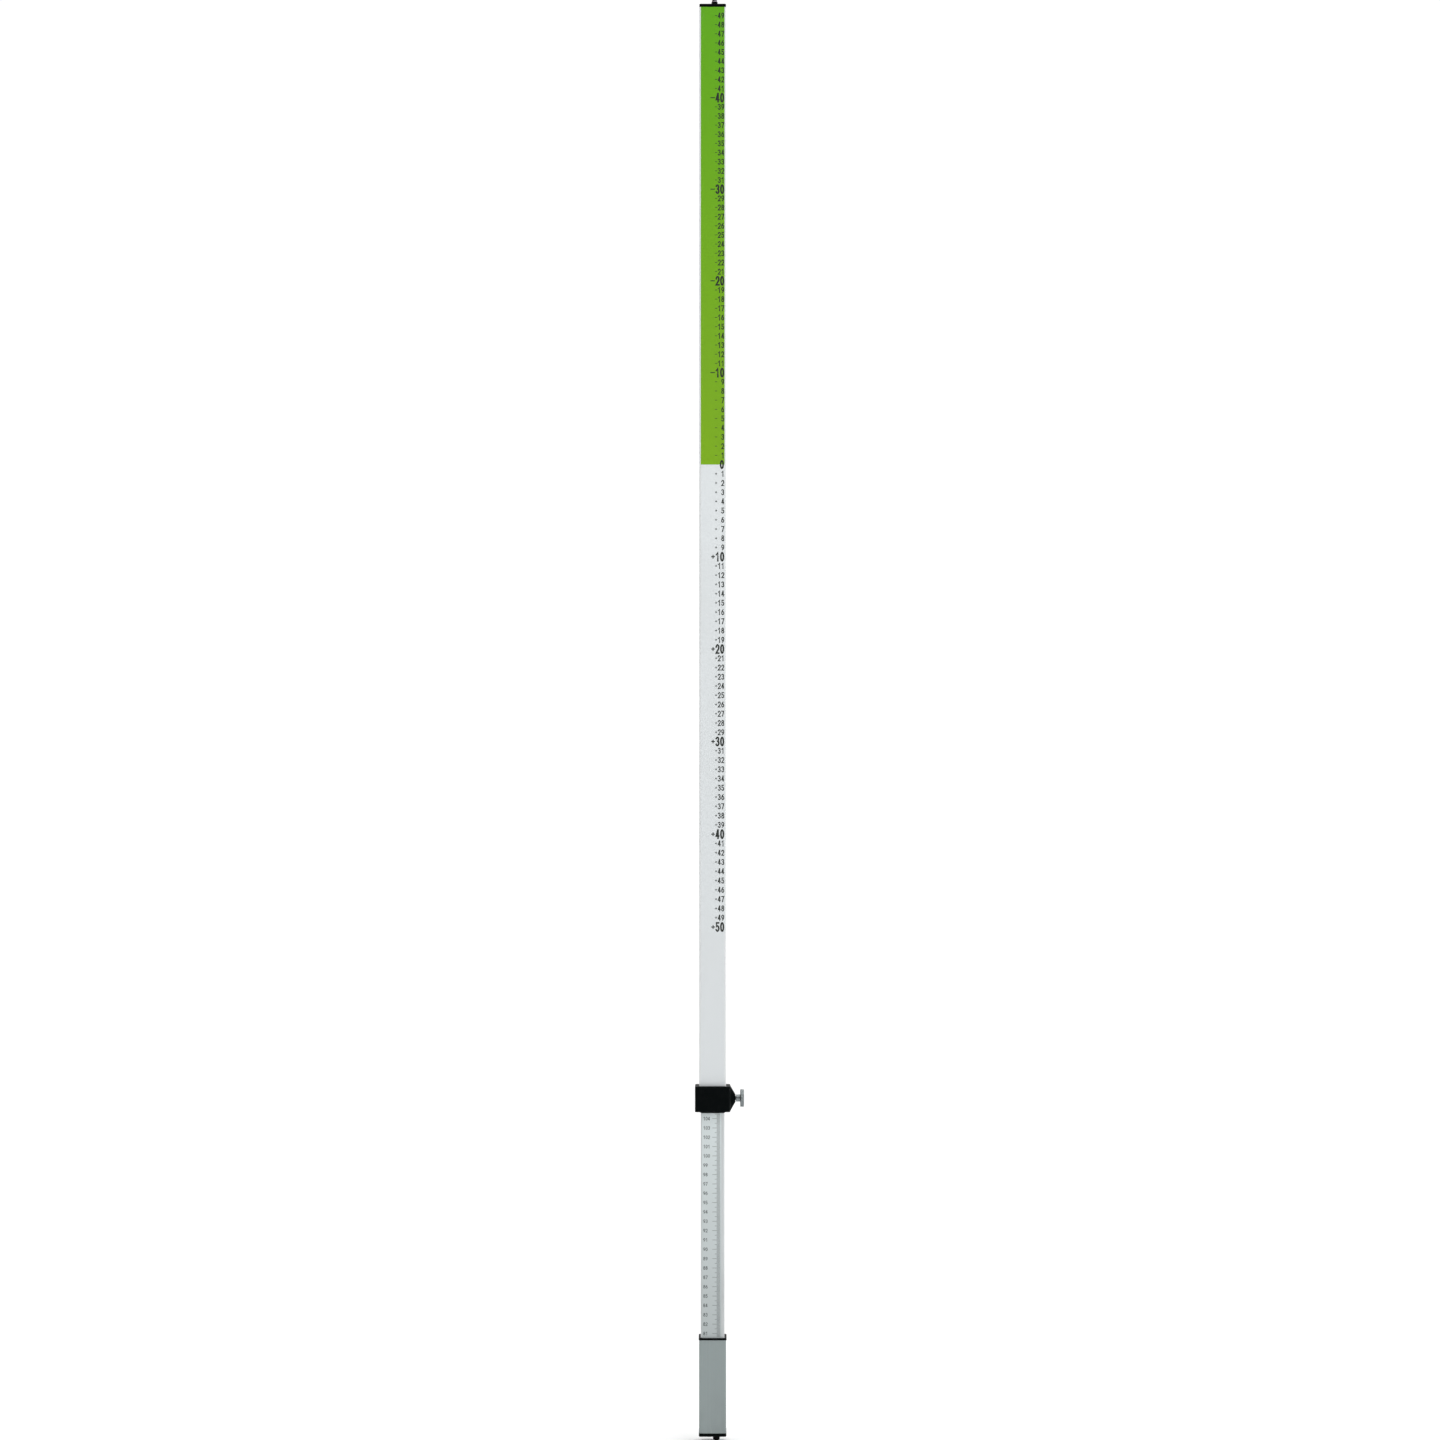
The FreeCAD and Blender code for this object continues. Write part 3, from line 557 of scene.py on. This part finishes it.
def stroke(path, width, closed=False):
    """Left and right edges of a line of constant width along a path of points.

    Each point moves by half the width along the mean of its two neighbours' normals, lengthened by one over
    the cosine of half the turn, so that straight stretches keep their width round a corner. An open path is
    first made longer by half the width at both ends.
    """
    path = np.array(path, float)
    if not closed:
        for end, inner in ((0, 1), (-1, -2)):
            out = path[end] - path[inner]
            path[end] += out / np.linalg.norm(out) * width / 2
    before = np.roll(path, 1, axis=0) if closed else np.vstack([2 * path[0] - path[1], path[:-1]])
    after = np.roll(path, -1, axis=0) if closed else np.vstack([path[1:], 2 * path[-1] - path[-2]])
    first, second = path - before, after - path
    first = first / np.linalg.norm(first, axis=1, keepdims=True)
    second = second / np.linalg.norm(second, axis=1, keepdims=True)
    normal_1 = np.stack([-first[:, 1], first[:, 0]], axis=1)
    normal_2 = np.stack([-second[:, 1], second[:, 0]], axis=1)
    spread = 1.0 + np.sum(normal_1 * normal_2, axis=1, keepdims=True)
    offset = (normal_1 + normal_2) / np.maximum(spread, 0.35) * width / 2
    return path + offset, path - offset


def arc(cx, cy, rx, ry, start, end, count):
    """Points on an ellipse about (cx, cy) from one angle to another, in degrees."""
    angle = np.radians(np.linspace(start, end, count))
    return np.stack([cx + rx * np.cos(angle), cy + ry * np.sin(angle)], axis=1)


def glyph_paths(character, rounds):
    """Centre lines of a character in a unit box, as (points, closed) pairs; rounds is the steps of a loop."""
    half = max(5, rounds // 2 + 1)
    if character == "0":
        return [(arc(0.5, 0.5, 0.5, 0.5, 90, 450, rounds + 1)[:-1], True)]
    if character == "1":
        return [(np.array([[0.10, 0.76], [0.62, 1.0], [0.62, 0.0]]), False)]
    if character == "2":
        bow = arc(0.5, 0.70, 0.5, 0.30, 170, -35, half)
        return [(np.vstack([bow, [[0.0, 0.0], [1.0, 0.0]]]), False)]
    if character == "3":
        upper = arc(0.46, 0.765, 0.46, 0.235, 155, -80, half)
        lower = arc(0.48, 0.27, 0.52, 0.27, 80, -155, half)
        return [(upper, False), (lower, False)]
    if character == "4":
        return [
            (np.array([[1.0, 0.26], [0.0, 0.26], [0.62, 1.0]]), False),
            (np.array([[0.72, 1.0], [0.72, 0.0]]), False),
        ]
    if character == "5":
        bowl = arc(0.46, 0.32, 0.54, 0.32, 115, -150, half + 1)
        return [(np.vstack([[[0.92, 1.0], [0.12, 1.0], [0.06, 0.52]], bowl]), False)]
    if character == "6":
        bowl = arc(0.5, 0.31, 0.5, 0.31, 180, 540, rounds + 1)[:-1]
        back = arc(1.0, 0.31, 1.0, 0.69, 180, 108, max(4, rounds // 3))
        return [(bowl, True), (back, False)]
    if character == "7":
        return [(np.array([[0.0, 1.0], [1.0, 1.0], [0.34, 0.0]]), False)]
    if character == "8":
        upper = arc(0.5, 0.765, 0.43, 0.235, 90, 450, rounds - 1)[:-1]
        lower = arc(0.5, 0.27, 0.5, 0.27, 90, 450, rounds + 1)[:-1]
        return [(upper, True), (lower, True)]
    if character == "9":
        return [(1.0 - points, closed) for points, closed in glyph_paths("6", rounds)]
    bars = [(np.array([[0.0, 0.5], [1.0, 0.5]]), False)]
    if character == "+":
        bars.append((np.array([[0.5, 0.0], [0.5, 1.0]]), False))
    if character in "+-":
        return bars
    raise ValueError(f"no shape for {character}")


def merged_strips(strips):
    """Triangles that fill the strips of one character once each, and the character's rim.

    A strip is (left edge, right edge, closed). Each of its quads is halved, and the halves, turned
    anticlockwise by the sign of their cross product, bound a constrained triangulation. A triangle stays when
    it lies in at least one half. A rim edge is a side whose reverse no kept triangle has.
    """
    points, halves = [], []
    for left, right, closed in strips:
        first, n = len(points), len(left)
        points.extend(np.concatenate([left, right]).tolist())
        k = np.arange(n if closed else n - 1)
        m = (k + 1) % n
        halves.append(first + np.stack([k, m, n + m], axis=1))
        halves.append(first + np.stack([k, n + m, n + k], axis=1))
    points, halves = np.array(points), np.concatenate(halves)
    one, two, three = (points[halves[:, k]] for k in range(3))
    (x1, z1), (x2, z2) = (two - one).T, (three - one).T
    area = x1 * z2 - x2 * z1
    halves = np.where(area[:, None] > 0, halves, halves[:, ::-1])[np.abs(area) > SLIVER_AREA]
    done = delaunay_2d_cdt(points.tolist(), [], halves.tolist(), INSIDE_TRIANGLES, MERGE_DISTANCE, True)
    corners = np.array([tuple(p) for p in done[0]])
    triangles = np.array([face for face, inside in zip(done[2], done[5]) if len(inside)])
    sides = {(int(t[k]), int(t[(k + 1) % 3])) for t in triangles for k in range(3)}
    rim = np.array([side for side in sides if side[::-1] not in sides])
    return corners, triangles, rim[np.lexsort(rim.T)]


class PrintSheet:
    """Collects flat printed shapes on a face that looks along -Y and makes one piece of them."""

    def __init__(self, face_y, thickness):
        self.face_y = face_y
        self.thickness = thickness
        self.vertices = []
        self.faces = []
        self.count = 0
        self.shapes = {}

    def stamp(self, shape, x, z):
        """A flat shape in millimetres, with its origin at x and z, as a closed prism on the face."""
        corners, triangles, rim = shape
        n = len(corners)
        flat = np.zeros((2, n, 3))
        flat[:, :, 0] = corners[:, 0] * MM + x
        flat[:, :, 2] = corners[:, 1] * MM + z
        flat[0, :, 1] = self.face_y - self.thickness
        flat[1, :, 1] = self.face_y
        walls = np.stack([rim[:, 0], rim[:, 0] + n, rim[:, 1] + n, rim[:, 1]], axis=1)
        for faces in (triangles, triangles[:, ::-1] + n, walls):
            self.faces.extend((faces + self.count).tolist())
        self.vertices.append(flat.reshape(-1, 3))
        self.count += 2 * n

    def glyph(self, character, x, z, width, height, line, rounds):
        """A character whose outer box starts at x, is centred on z, and has lines of this width."""
        key = (character, width, height, line)
        if key not in self.shapes:
            box = np.array([width - line, height - line]) / MM
            foot = np.array([line / 2, (line - height) / 2]) / MM
            self.shapes[key] = merged_strips([
                (*stroke(points * box + foot, line / MM, closed), closed)
                for points, closed in glyph_paths(character, rounds)
            ])
        self.stamp(self.shapes[key], x, z)

    def number(self, text, z, width, height, line, gap, left=None, right=None, rounds=12):
        """Figures side by side from left, or ending at right; gives back the left edge."""
        whole = len(text) * width + (len(text) - 1) * gap
        start = left if left is not None else right - whole
        for k, character in enumerate(text):
            self.glyph(character, start + k * (width + gap), z, width, height, line, rounds)
        return start

    def sign(self, character, x, z, width, line):
        """A plus as tall as it is wide, or a minus, starting at x and centred on z."""
        self.glyph(character, x, z, width, width if character == "+" else line, line, 0)

    def line(self, x0, x1, z, thickness):
        """A level line between two X positions, centred on z."""
        half = thickness / 2 / MM
        length = (x1 - x0) / MM
        corners = np.array([[0.0, -half], [length, -half], [length, half], [0.0, half]])
        rim = np.array([[0, 1], [1, 2], [2, 3], [3, 0]])
        self.stamp((corners, np.array([[0, 1, 2], [0, 2, 3]]), rim), x0, z)

    def piece(self, name, material):
        """The finished piece."""
        return mesh_piece(name, np.vstack(self.vertices), self.faces, material)


def lathe(stations, radii, around, origin, axis, bend=None):
    """A closed surface turned about an axis through origin.

    Point (s, angle) lies at origin + s along the axis, out by radius(s) + bend(s, angle) across it. A vertex
    on the axis closes each end.
    """
    angle = np.linspace(0, 2 * np.pi, around, endpoint=False)
    s, a = np.meshgrid(stations, angle, indexing="ij")
    r = np.repeat(np.asarray(radii)[:, None], around, axis=1)
    if bend is not None:
        r = r + bend(s, a)
    axis = np.asarray(axis, float)
    side = np.array([0.0, 1.0, 0.0])
    other = np.cross(axis, side)
    points = (
        np.asarray(origin, float)
        + s[..., None] * axis
        + (r * np.cos(a))[..., None] * side
        + (r * np.sin(a))[..., None] * other
    )
    rows = len(stations)
    vertices = points.reshape(-1, 3)
    ends = np.asarray(origin, float) + np.outer([stations[0], stations[-1]], axis)
    vertices = np.vstack([vertices, ends])
    faces = grid_faces(rows, around, wrap_columns=True).tolist()
    k = np.arange(around)
    start_fan = np.stack([np.full(around, rows * around), (k + 1) % around, k], axis=1)
    top = (rows - 1) * around
    end_fan = np.stack([np.full(around, rows * around + 1), top + k, top + (k + 1) % around], axis=1)
    return vertices, faces + start_fan.tolist() + end_fan.tolist()


def triangle_wave(t):
    """0 at whole numbers and 1 halfway between them."""
    return 1.0 - np.abs((t % 1.0) * 2.0 - 1.0)


def thread(pitch, depth, start, end):
    """Depth of a pointed thread as a function of place and angle: a wave that climbs one pitch a turn."""

    def bend(s, a):
        inside = np.clip((s - start) / pitch, 0, 1) * np.clip((end - s) / pitch, 0, 1)
        return -depth * inside * (1.0 - triangle_wave(s / pitch - a / (2 * np.pi)))

    return bend


# ---------------------------------------------------------------- operators
class ROD_OT_finish_tubes(Operator):
    """Gives the sleeve, inner tube and foot tube their coat, anodising, wear and painted shade at their lower
    ends
    """

    bl_idname = "rod.finish_tubes"
    bl_label = "Finish Tubes"

    def execute(self, context):
        colours = context.scene.rod_finish
        dress(powder_coat(colours.white_coat), "sleeve_tube")
        foot_top = float(high("foot_tube")[2])
        # the heights at the end of each call are where painted shade darkens the tube's lower end
        f, shade, rough, normal = drawn_metal(
            "Foot tube anodising", tuple(colours.foot_grey), 0.34, (DATUM_Z, DATUM_Z + 0.05)
        )
        dress(f.surface(Base_Color=shade, Metallic=0.55, Roughness=rough, Normal=normal), "foot_tube")
        f, shade, rough, normal = drawn_metal(
            "Inner tube anodising", (0.66, 0.69, 0.70), 0.28, (foot_top, foot_top + 0.12), groove=0.008
        )
        pad_low, pad_high = low("clamp_pad"), high("clamp_pad")
        half = (pad_high[1] - pad_low[1]) / 2
        middle = (pad_high[1] + pad_low[1]) / 2
        track = 1.0 - f.band(abs(f.y - middle), half * 0.7, half)
        track = track * f.band(f.x, high("inner_tube")[0] - 0.4 * MM, high("inner_tube")[0] - 0.1 * MM)
        shade = f.mix(track * 0.22, shade, (0.86, 0.87, 0.88))
        rough = rough - track * 0.10
        dress(f.surface(Base_Color=shade, Metallic=0.85, Roughness=rough, Normal=normal), "inner_tube")
        return {"FINISHED"}


class ROD_OT_finish_films(Operator):
    """Gives the three printed films their ground colours"""

    bl_idname = "rod.finish_films"
    bl_label = "Finish Films"

    def execute(self, context):
        colours = context.scene.rod_finish
        top = float(high("minus_scale_film")[2])
        dress(
            printed_film(
                "Green film", colours.green_low, colours.green_high, ZERO_MARK_Z, top, 0.30,
                (0.10, 0.24, 0.03),
            ),
            "minus_scale_film",
        )
        white = tuple(colours.white_film)
        # painted shade: a darker copy of the white for the film's lower end by the collar
        white_in_painted_shade = tuple(0.90 * c for c in white)
        dress(
            printed_film(
                "White film", white_in_painted_shade, white, INDEX_Z, ZERO_MARK_Z, 0.30, (0.50, 0.51, 0.48)
            ),
            "plus_scale_film",
        )
        bright = tuple(colours.height_film)
        # painted shade: a darker copy of the film's colour for its lower end by the foot ring
        height_film_in_painted_shade = tuple(0.66 * c for c in bright)
        ring_top = float(high("foot_ring")[2])
        dress(
            printed_film(
                "Height film", height_film_in_painted_shade, bright, ring_top - 0.01, INDEX_Z - 0.02, 0.38, (0.30, 0.31, 0.29)
            ),
            "height_scale_film",
        )
        return {"FINISHED"}


class ROD_OT_print_sleeve(Operator):
    """Prints the signed centimetre figures and the zero on the sleeve's films"""

    bl_idname = "rod.print_sleeve"
    bl_label = "Print Sleeve Figures"

    def execute(self, context):
        sizes = context.scene.rod_print
        ink = print_ink(tuple(context.scene.rod_finish.ink_black))
        right = ROD_AXIS_X + sizes.figure_margin
        room = high("minus_scale_film")[2] - ZERO_MARK_Z - sizes.figure_height / 2
        last_minus = math.floor(room / CENTIMETRE)
        for sign, film, direction, last in (
            ("-", "minus_scale_film", 1, last_minus),
            ("+", "plus_scale_film", -1, LAST_PLUS),
        ):
            sheet = PrintSheet(float(low(film)[1]), sizes.ink_thickness)
            for n in range(1, last + 1):
                z = ZERO_MARK_Z + direction * n * CENTIMETRE
                if n % 10 == 0:
                    left = sheet.number(
                        str(n), z, DECADE_WIDTH, sizes.decade_height, sizes.decade_line, DECADE_GAP,
                        right=right, rounds=16,
                    )
                    width, line = DECADE_MINUS if sign == "-" else DECADE_PLUS
                    sheet.sign(sign, left - DECADE_SIGN_GAP - width, z, width, line)
                else:
                    sheet.number(
                        str(n), z, FIGURE_WIDTH, sizes.figure_height, sizes.figure_line, FIGURE_GAP,
                        right=right,
                    )
                    sheet.sign(sign, ROD_AXIS_X + SIGN_OFFSET, z, SIGN_WIDTH, SIGN_LINE)
            piece = sheet.piece("sleeve_figures_minus" if sign == "-" else "sleeve_figures_plus", ink)
            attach(piece, "sleeve")
        sheet = PrintSheet(float(low("plus_scale_film")[1]), sizes.ink_thickness)
        sheet.number(
            "0", ZERO_MARK_Z, DECADE_WIDTH, sizes.decade_height * ZERO_SHARE, sizes.decade_line, 0.0,
            right=right - ZERO_SHIFT, rounds=16,
        )
        zero = sheet.piece("sleeve_figure_zero", ink)
        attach(zero, "sleeve")
        return {"FINISHED"}


class ROD_OT_print_heights(Operator):
    """Prints the centimetre figures and millimetre lines on the inner tube's film"""

    bl_idname = "rod.print_heights"
    bl_label = "Print Height Scale"

    def execute(self, context):
        sizes = context.scene.rod_print
        ink = print_ink((0.045, 0.055, 0.055))
        film_low, film_high = low("height_scale_film"), high("height_scale_film")
        first = math.ceil((film_low[2] + FILM_EDGE - INDEX_Z + REST_READING) / MM)
        last = math.floor((film_high[2] - FILM_EDGE - INDEX_Z + REST_READING) / MM)
        tube_left = float(low("inner_tube")[0])
        line_end = tube_left + LINE_END
        lines = PrintSheet(float(film_low[1]), sizes.ink_thickness)
        figures = PrintSheet(float(film_low[1]), sizes.ink_thickness)
        for reading in range(first, last + 1):
            z = INDEX_Z + reading * MM - REST_READING
            length = next(LINE_LENGTHS[step] for step in (10, 5, 1) if reading % step == 0)
            lines.line(line_end - length, line_end, z, sizes.height_line)
            if reading % 10 == 0 and film_low[2] + FIGURE_EDGE < z < film_high[2] - FIGURE_EDGE:
                figures.number(
                    str(reading // 10), z, HEIGHT_WIDTH, sizes.height_figure, HEIGHT_LINE, HEIGHT_GAP,
                    left=tube_left + HEIGHT_LEFT, rounds=10,
                )
        for sheet, name in ((lines, "height_graduation"), (figures, "height_figures")):
            piece = sheet.piece(name, ink)
            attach(piece, "base")
        return {"FINISHED"}


class ROD_OT_finish_mouldings(Operator):
    """Gives the collar, ring, caps, boot and glide pieces their moulded finish"""

    bl_idname = "rod.finish_mouldings"
    bl_label = "Finish Mouldings"

    def execute(self, context):
        black = tuple(context.scene.rod_finish.moulding_black)
        collar_low, collar_high = low("collar_body"), high("collar_body")
        # the heights given are the edges made lighter grey: rubbed wear and painted highlight
        dress(
            moulded_plastic(
                "Collar moulding", black, 0.5, 0.44,
                (float(collar_high[2]) - 0.5 * MM, float(collar_low[2]) + 1.6 * MM),
            ),
            "collar_body",
        )
        edges = (float(high("foot_ring")[2]) - 0.5 * MM, float(low("bottom_cap")[2]) + 0.5 * MM)
        dress(moulded_plastic("Foot mouldings", black, 0.4, 0.50, edges), "foot_ring", "bottom_cap")
        sleeve_top = float(high("sleeve_tube")[2])
        dress(moulded_plastic("Top cap moulding", black, 0.4, 0.50, (sleeve_top + 3.1 * MM,)), "top_cap")
        dress(moulded_plastic("Boot rubber", (0.010, 0.010, 0.010), 0.3, 0.68), "foot_boot")
        dress(
            moulded_plastic("Glide plastic", (0.030, 0.031, 0.032), 0.6, 0.36),
            "collar_guide", "inner_guide_cap", "slide_pad", "foot_packer", "clamp_pad",
        )
        return {"FINISHED"}


class ROD_OT_make_thumb_screw(Operator):
    """Makes the thumb screw with its knurled head and threaded shank"""

    bl_idname = "rod.make_thumb_screw"
    bl_label = "Make Thumb Screw"

    def execute(self, context):
        sizes = context.scene.rod_hardware
        box_low, box_high = low("thumb_screw"), high("thumb_screw")
        centre = (box_low + box_high) / 2
        end = float(box_high[0])
        head_radius = float(box_high[2] - box_low[2]) / 2
        head_x, neck_x = end - HEAD_LENGTH, end - HEAD_LENGTH - NECK_LENGTH
        neck_radius = NECK_RADIUS
        metal = turned_metal("Plated thumb screw", (0.25, 0.275, 0.28), 0.17, centre)
        origin = (0.0, float(centre[1]), float(centre[2]))

        knurl_start, knurl_end = head_x + KNURL_EDGE, end - KNURL_EDGE
        knurl = np.linspace(knurl_start, knurl_end, 13)
        profile = [
            (neck_x, 2.0 * MM),
            (neck_x, neck_radius - 0.35 * MM),
            (neck_x + 0.35 * MM, neck_radius),
            (head_x - 0.5 * MM, neck_radius),
            (head_x - 0.12 * MM, neck_radius + 0.15 * MM),
            (head_x, neck_radius + 0.55 * MM),
            (head_x, head_radius - 0.85 * MM),
            (head_x + 0.12 * MM, head_radius - 0.45 * MM),
            *[(float(x), head_radius) for x in knurl],
            (end - 0.12 * MM, head_radius - 0.45 * MM),
            (end, head_radius - 0.85 * MM),
            (end, head_radius - 1.6 * MM),
            (end - 0.22 * MM, head_radius - 1.9 * MM),
            (end - 0.22 * MM, 1.2 * MM),
            (end - 0.45 * MM, 0.6 * MM),
        ]
        stations = np.array([p[0] for p in profile])
        radii = np.array([p[1] for p in profile])

        def diamonds(s, a):
            """Two crossed sets of grooves, each a triangle wave of angle plus or minus distance."""
            turns = a * sizes.knurl_teeth / (2 * np.pi)
            slant = s / KNURL_RISE
            grooves = np.minimum(triangle_wave(turns + slant), triangle_wave(turns - slant))
            inside = (s >= knurl_start - 1e-9) & (s <= knurl_end + 1e-9)
            on_rim = (radii > head_radius - 1e-9)[:, None]
            return np.where(inside & on_rim, -sizes.knurl_depth * (1.0 - grooves), 0.0)

        vertices, faces = lathe(
            stations, radii, sizes.knurl_teeth * 6, origin, (1, 0, 0), diamonds
        )
        head = mesh_piece("thumb_screw_head", vertices, faces, metal, math.radians(28))

        bead_x = float(box_low[0])
        step = sizes.clamp_pitch / 8
        shank_start = bead_x + 1.3 * MM
        run = np.arange(shank_start, neck_x + 0.2 * MM, step)
        stations = np.concatenate([
            [bead_x, bead_x, bead_x + 0.6 * MM, bead_x + 0.6 * MM, shank_start], run
        ])
        radii = np.concatenate([
            np.array([1.5, 1.75, 1.75, 1.4, 1.4]) * MM, np.full(len(run), SHANK_RADIUS)
        ])
        bend = thread(sizes.clamp_pitch, SHANK_THREAD_DEPTH, shank_start, neck_x)
        threaded = (radii > SHANK_RADIUS - 0.1 * MM)[:, None]
        vertices, faces = lathe(
            stations, radii, 48, origin, (1, 0, 0), lambda s, a: np.where(threaded, bend(s, a), 0.0)
        )
        shank = mesh_piece("thumb_screw_shank", vertices, faces, metal, math.radians(35))
        for piece in (head, shank):
            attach(piece, "screw")
        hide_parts("thumb_screw")
        return {"FINISHED"}


class ROD_OT_make_top_stud(Operator):
    """Makes the top cap's stud with its thread"""

    bl_idname = "rod.make_top_stud"
    bl_label = "Make Top Stud"

    def execute(self, context):
        pitch = context.scene.rod_hardware.stud_pitch
        box_low, box_high = low("top_stud"), high("top_stud")
        centre = (box_low + box_high) / 2
        bottom, top = float(box_low[2]), float(box_high[2])
        shoulder = float(high("top_cap")[2])
        run = np.arange(shoulder, top - 0.5 * MM, pitch / 10)
        stations = np.concatenate([[bottom, bottom + 0.5 * MM, shoulder], run, [top - 0.5 * MM, top]])
        radii = np.concatenate([
            np.array([2.0, 2.5, 2.5]) * MM, np.full(len(run), STUD_RADIUS), np.array([2.95, 2.45]) * MM
        ])
        bend = thread(pitch, STUD_THREAD_DEPTH, shoulder, top + 0.4 * MM)
        threaded = (radii > STUD_RADIUS - 0.06 * MM)[:, None]
        vertices, faces = lathe(
            stations, radii, 56, (float(centre[0]), float(centre[1]), 0.0), (0, 0, 1),
            lambda s, a: np.where(threaded, bend(s, a), 0.0),
        )
        metal = plain_metal("Stud zinc", (0.36, 0.33, 0.37), 0.30)
        stud = mesh_piece("top_stud_threaded", vertices, faces, metal, math.radians(35))
        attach(stud, "sleeve")
        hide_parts("top_stud")
        return {"FINISHED"}


class ROD_OT_finish_fasteners(Operator):
    """Gives the rivets, screws, nuts, insert and foot stud their metal"""

    bl_idname = "rod.finish_fasteners"
    bl_label = "Finish Fasteners"

    def execute(self, context):
        dress(plain_metal("Rivet aluminium", (0.68, 0.69, 0.70), 0.34), "foot_rivets", "slide_pad_rivets")
        dress(plain_metal("Black oxide", (0.035, 0.035, 0.037), 0.42, 0.7), "collar_screws")
        dress(plain_metal("Nut zinc", (0.60, 0.61, 0.62), 0.30), "foot_stud_nut", "top_stud_nut")
        dress(plain_metal("Insert brass", (0.72, 0.50, 0.18), 0.28), "threaded_insert")
        dress(plain_metal("Foot stud steel", (0.46, 0.45, 0.46), 0.32), "foot_stud")
        return {"FINISHED"}


def light_surround(scene, stage):
    """The world: plain white behind everything, and as light a soft room, dim in front and at the left."""
    world = bpy.data.worlds.new("Studio surround")
    scene.world = world
    world.use_nodes = True
    g = Graph(world.node_tree)
    x, y, z = g.parts(g.add("ShaderNodeTexCoord", output="Generated"))
    room = g.band(y, -1.0, 1.0, stage.surround_front, stage.surround_back)
    room = room + g.band(x, -1.0, 1.0, -stage.surround_side, stage.surround_side)
    room = room + g.band(z, 0.40, 1.0, 0.0, stage.surround_above)
    white = (1.0, 1.0, 1.0, 1.0)
    lit = g.add("ShaderNodeBackground", None, {"Color": white, "Strength": room})
    seen = g.add("ShaderNodeBackground", None, {"Color": white, "Strength": stage.backdrop})
    camera_ray = g.add("ShaderNodeLightPath", output="Is Camera Ray")
    both = g.add("ShaderNodeMixShader", None, {0: camera_ray, 1: lit, 2: seen})
    g.add("ShaderNodeOutputWorld", None, {"Surface": both})


class ROD_OT_set_stage(Operator):
    """Sets the floor, the soft lights and the camera"""

    bl_idname = "rod.set_stage"
    bl_label = "Set Stage"

    def execute(self, context):
        scene = context.scene
        stage = scene.rod_stage
        scene.view_settings.view_transform = "Standard"
        corners = FLOOR_HALF * np.array([[-1, -1, 0], [1, -1, 0], [1, 1, 0], [-1, 1, 0]], float)
        f = Finish("Pale floor")
        tone = f.noise(0.9, detail=2.0)
        paper = f.surface(
            Base_Color=f.mix(tone * 0.04, (0.90, 0.90, 0.90), (0.87, 0.87, 0.87)), Roughness=0.9,
            Specular_IOR_Level=0.1,
        )
        floor = mesh_piece("stage_floor", corners, [[0, 1, 2, 3]], paper)

        light_surround(scene, stage)

        light = bpy.data.lights.new("Front light", "AREA")
        light.shape = "SQUARE"
        light.size = LIGHT_SIZE
        light.energy = stage.front_watts
        lamp = bpy.data.objects.new("Front light", light)
        scene.collection.objects.link(lamp)
        lamp.location = LIGHT_PLACE
        aim = np.array(LIGHT_TARGET) - np.array(LIGHT_PLACE)
        lamp.rotation_euler = (
            math.atan2(math.hypot(aim[0], aim[1]), -aim[2]), 0.0, math.atan2(-aim[0], aim[1])
        )

        camera_data = bpy.data.cameras.new("Rod camera")
        camera_data.lens = stage.lens
        camera_data.sensor_width = SENSOR_WIDTH
        camera_data.clip_end = SIGHT_LIMIT
        camera = bpy.data.objects.new("Rod camera", camera_data)
        scene.collection.objects.link(camera)
        camera.location = (stage.camera_side, -stage.camera_distance, stage.camera_height)
        camera.rotation_euler = (math.pi / 2 + stage.camera_tilt, 0.0, 0.0)
        scene.camera = camera
        return {"FINISHED"}


OPERATORS = (
    ROD_OT_finish_tubes,
    ROD_OT_finish_films,
    ROD_OT_print_sleeve,
    ROD_OT_print_heights,
    ROD_OT_finish_mouldings,
    ROD_OT_make_thumb_screw,
    ROD_OT_make_top_stud,
    ROD_OT_finish_fasteners,
    ROD_OT_set_stage,
)


class ROD_PT_panel(Panel):
    """Lists the rod's settings and its operators"""

    bl_idname = "ROD_PT_panel"
    bl_label = "Leveling Rod"
    bl_space_type = "VIEW_3D"
    bl_region_type = "UI"
    bl_category = "Leveling Rod"

    def draw(self, context):
        layout = self.layout
        for group in ("rod_print", "rod_finish", "rod_hardware", "rod_stage"):
            settings = getattr(context.scene, group)
            box = layout.box()
            for key in settings.bl_rna.properties.keys():
                if key not in ("rna_type", "name"):
                    box.prop(settings, key)
        for operator in OPERATORS:
            layout.operator(operator.bl_idname)


SETTINGS = {
    "rod_print": RodPrintSettings,
    "rod_finish": RodFinishSettings,
    "rod_hardware": RodHardwareSettings,
    "rod_stage": RodStageSettings,
}
CLASSES = (*SETTINGS.values(), *OPERATORS, ROD_PT_panel)


def register():
    """Registers the classes and hangs the settings on the scene."""
    for cls in CLASSES:
        bpy.utils.register_class(cls)
    for key, group in SETTINGS.items():
        setattr(bpy.types.Scene, key, PointerProperty(type=group))


def unregister():
    """Undoes register."""
    for key in SETTINGS:
        delattr(bpy.types.Scene, key)
    for cls in reversed(CLASSES):
        bpy.utils.unregister_class(cls)


def main():
    """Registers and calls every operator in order."""
    register()
    for operator in OPERATORS:
        group, name = operator.bl_idname.split(".")
        getattr(getattr(bpy.ops, group), name)()


if __name__ == "__main__":
    main()
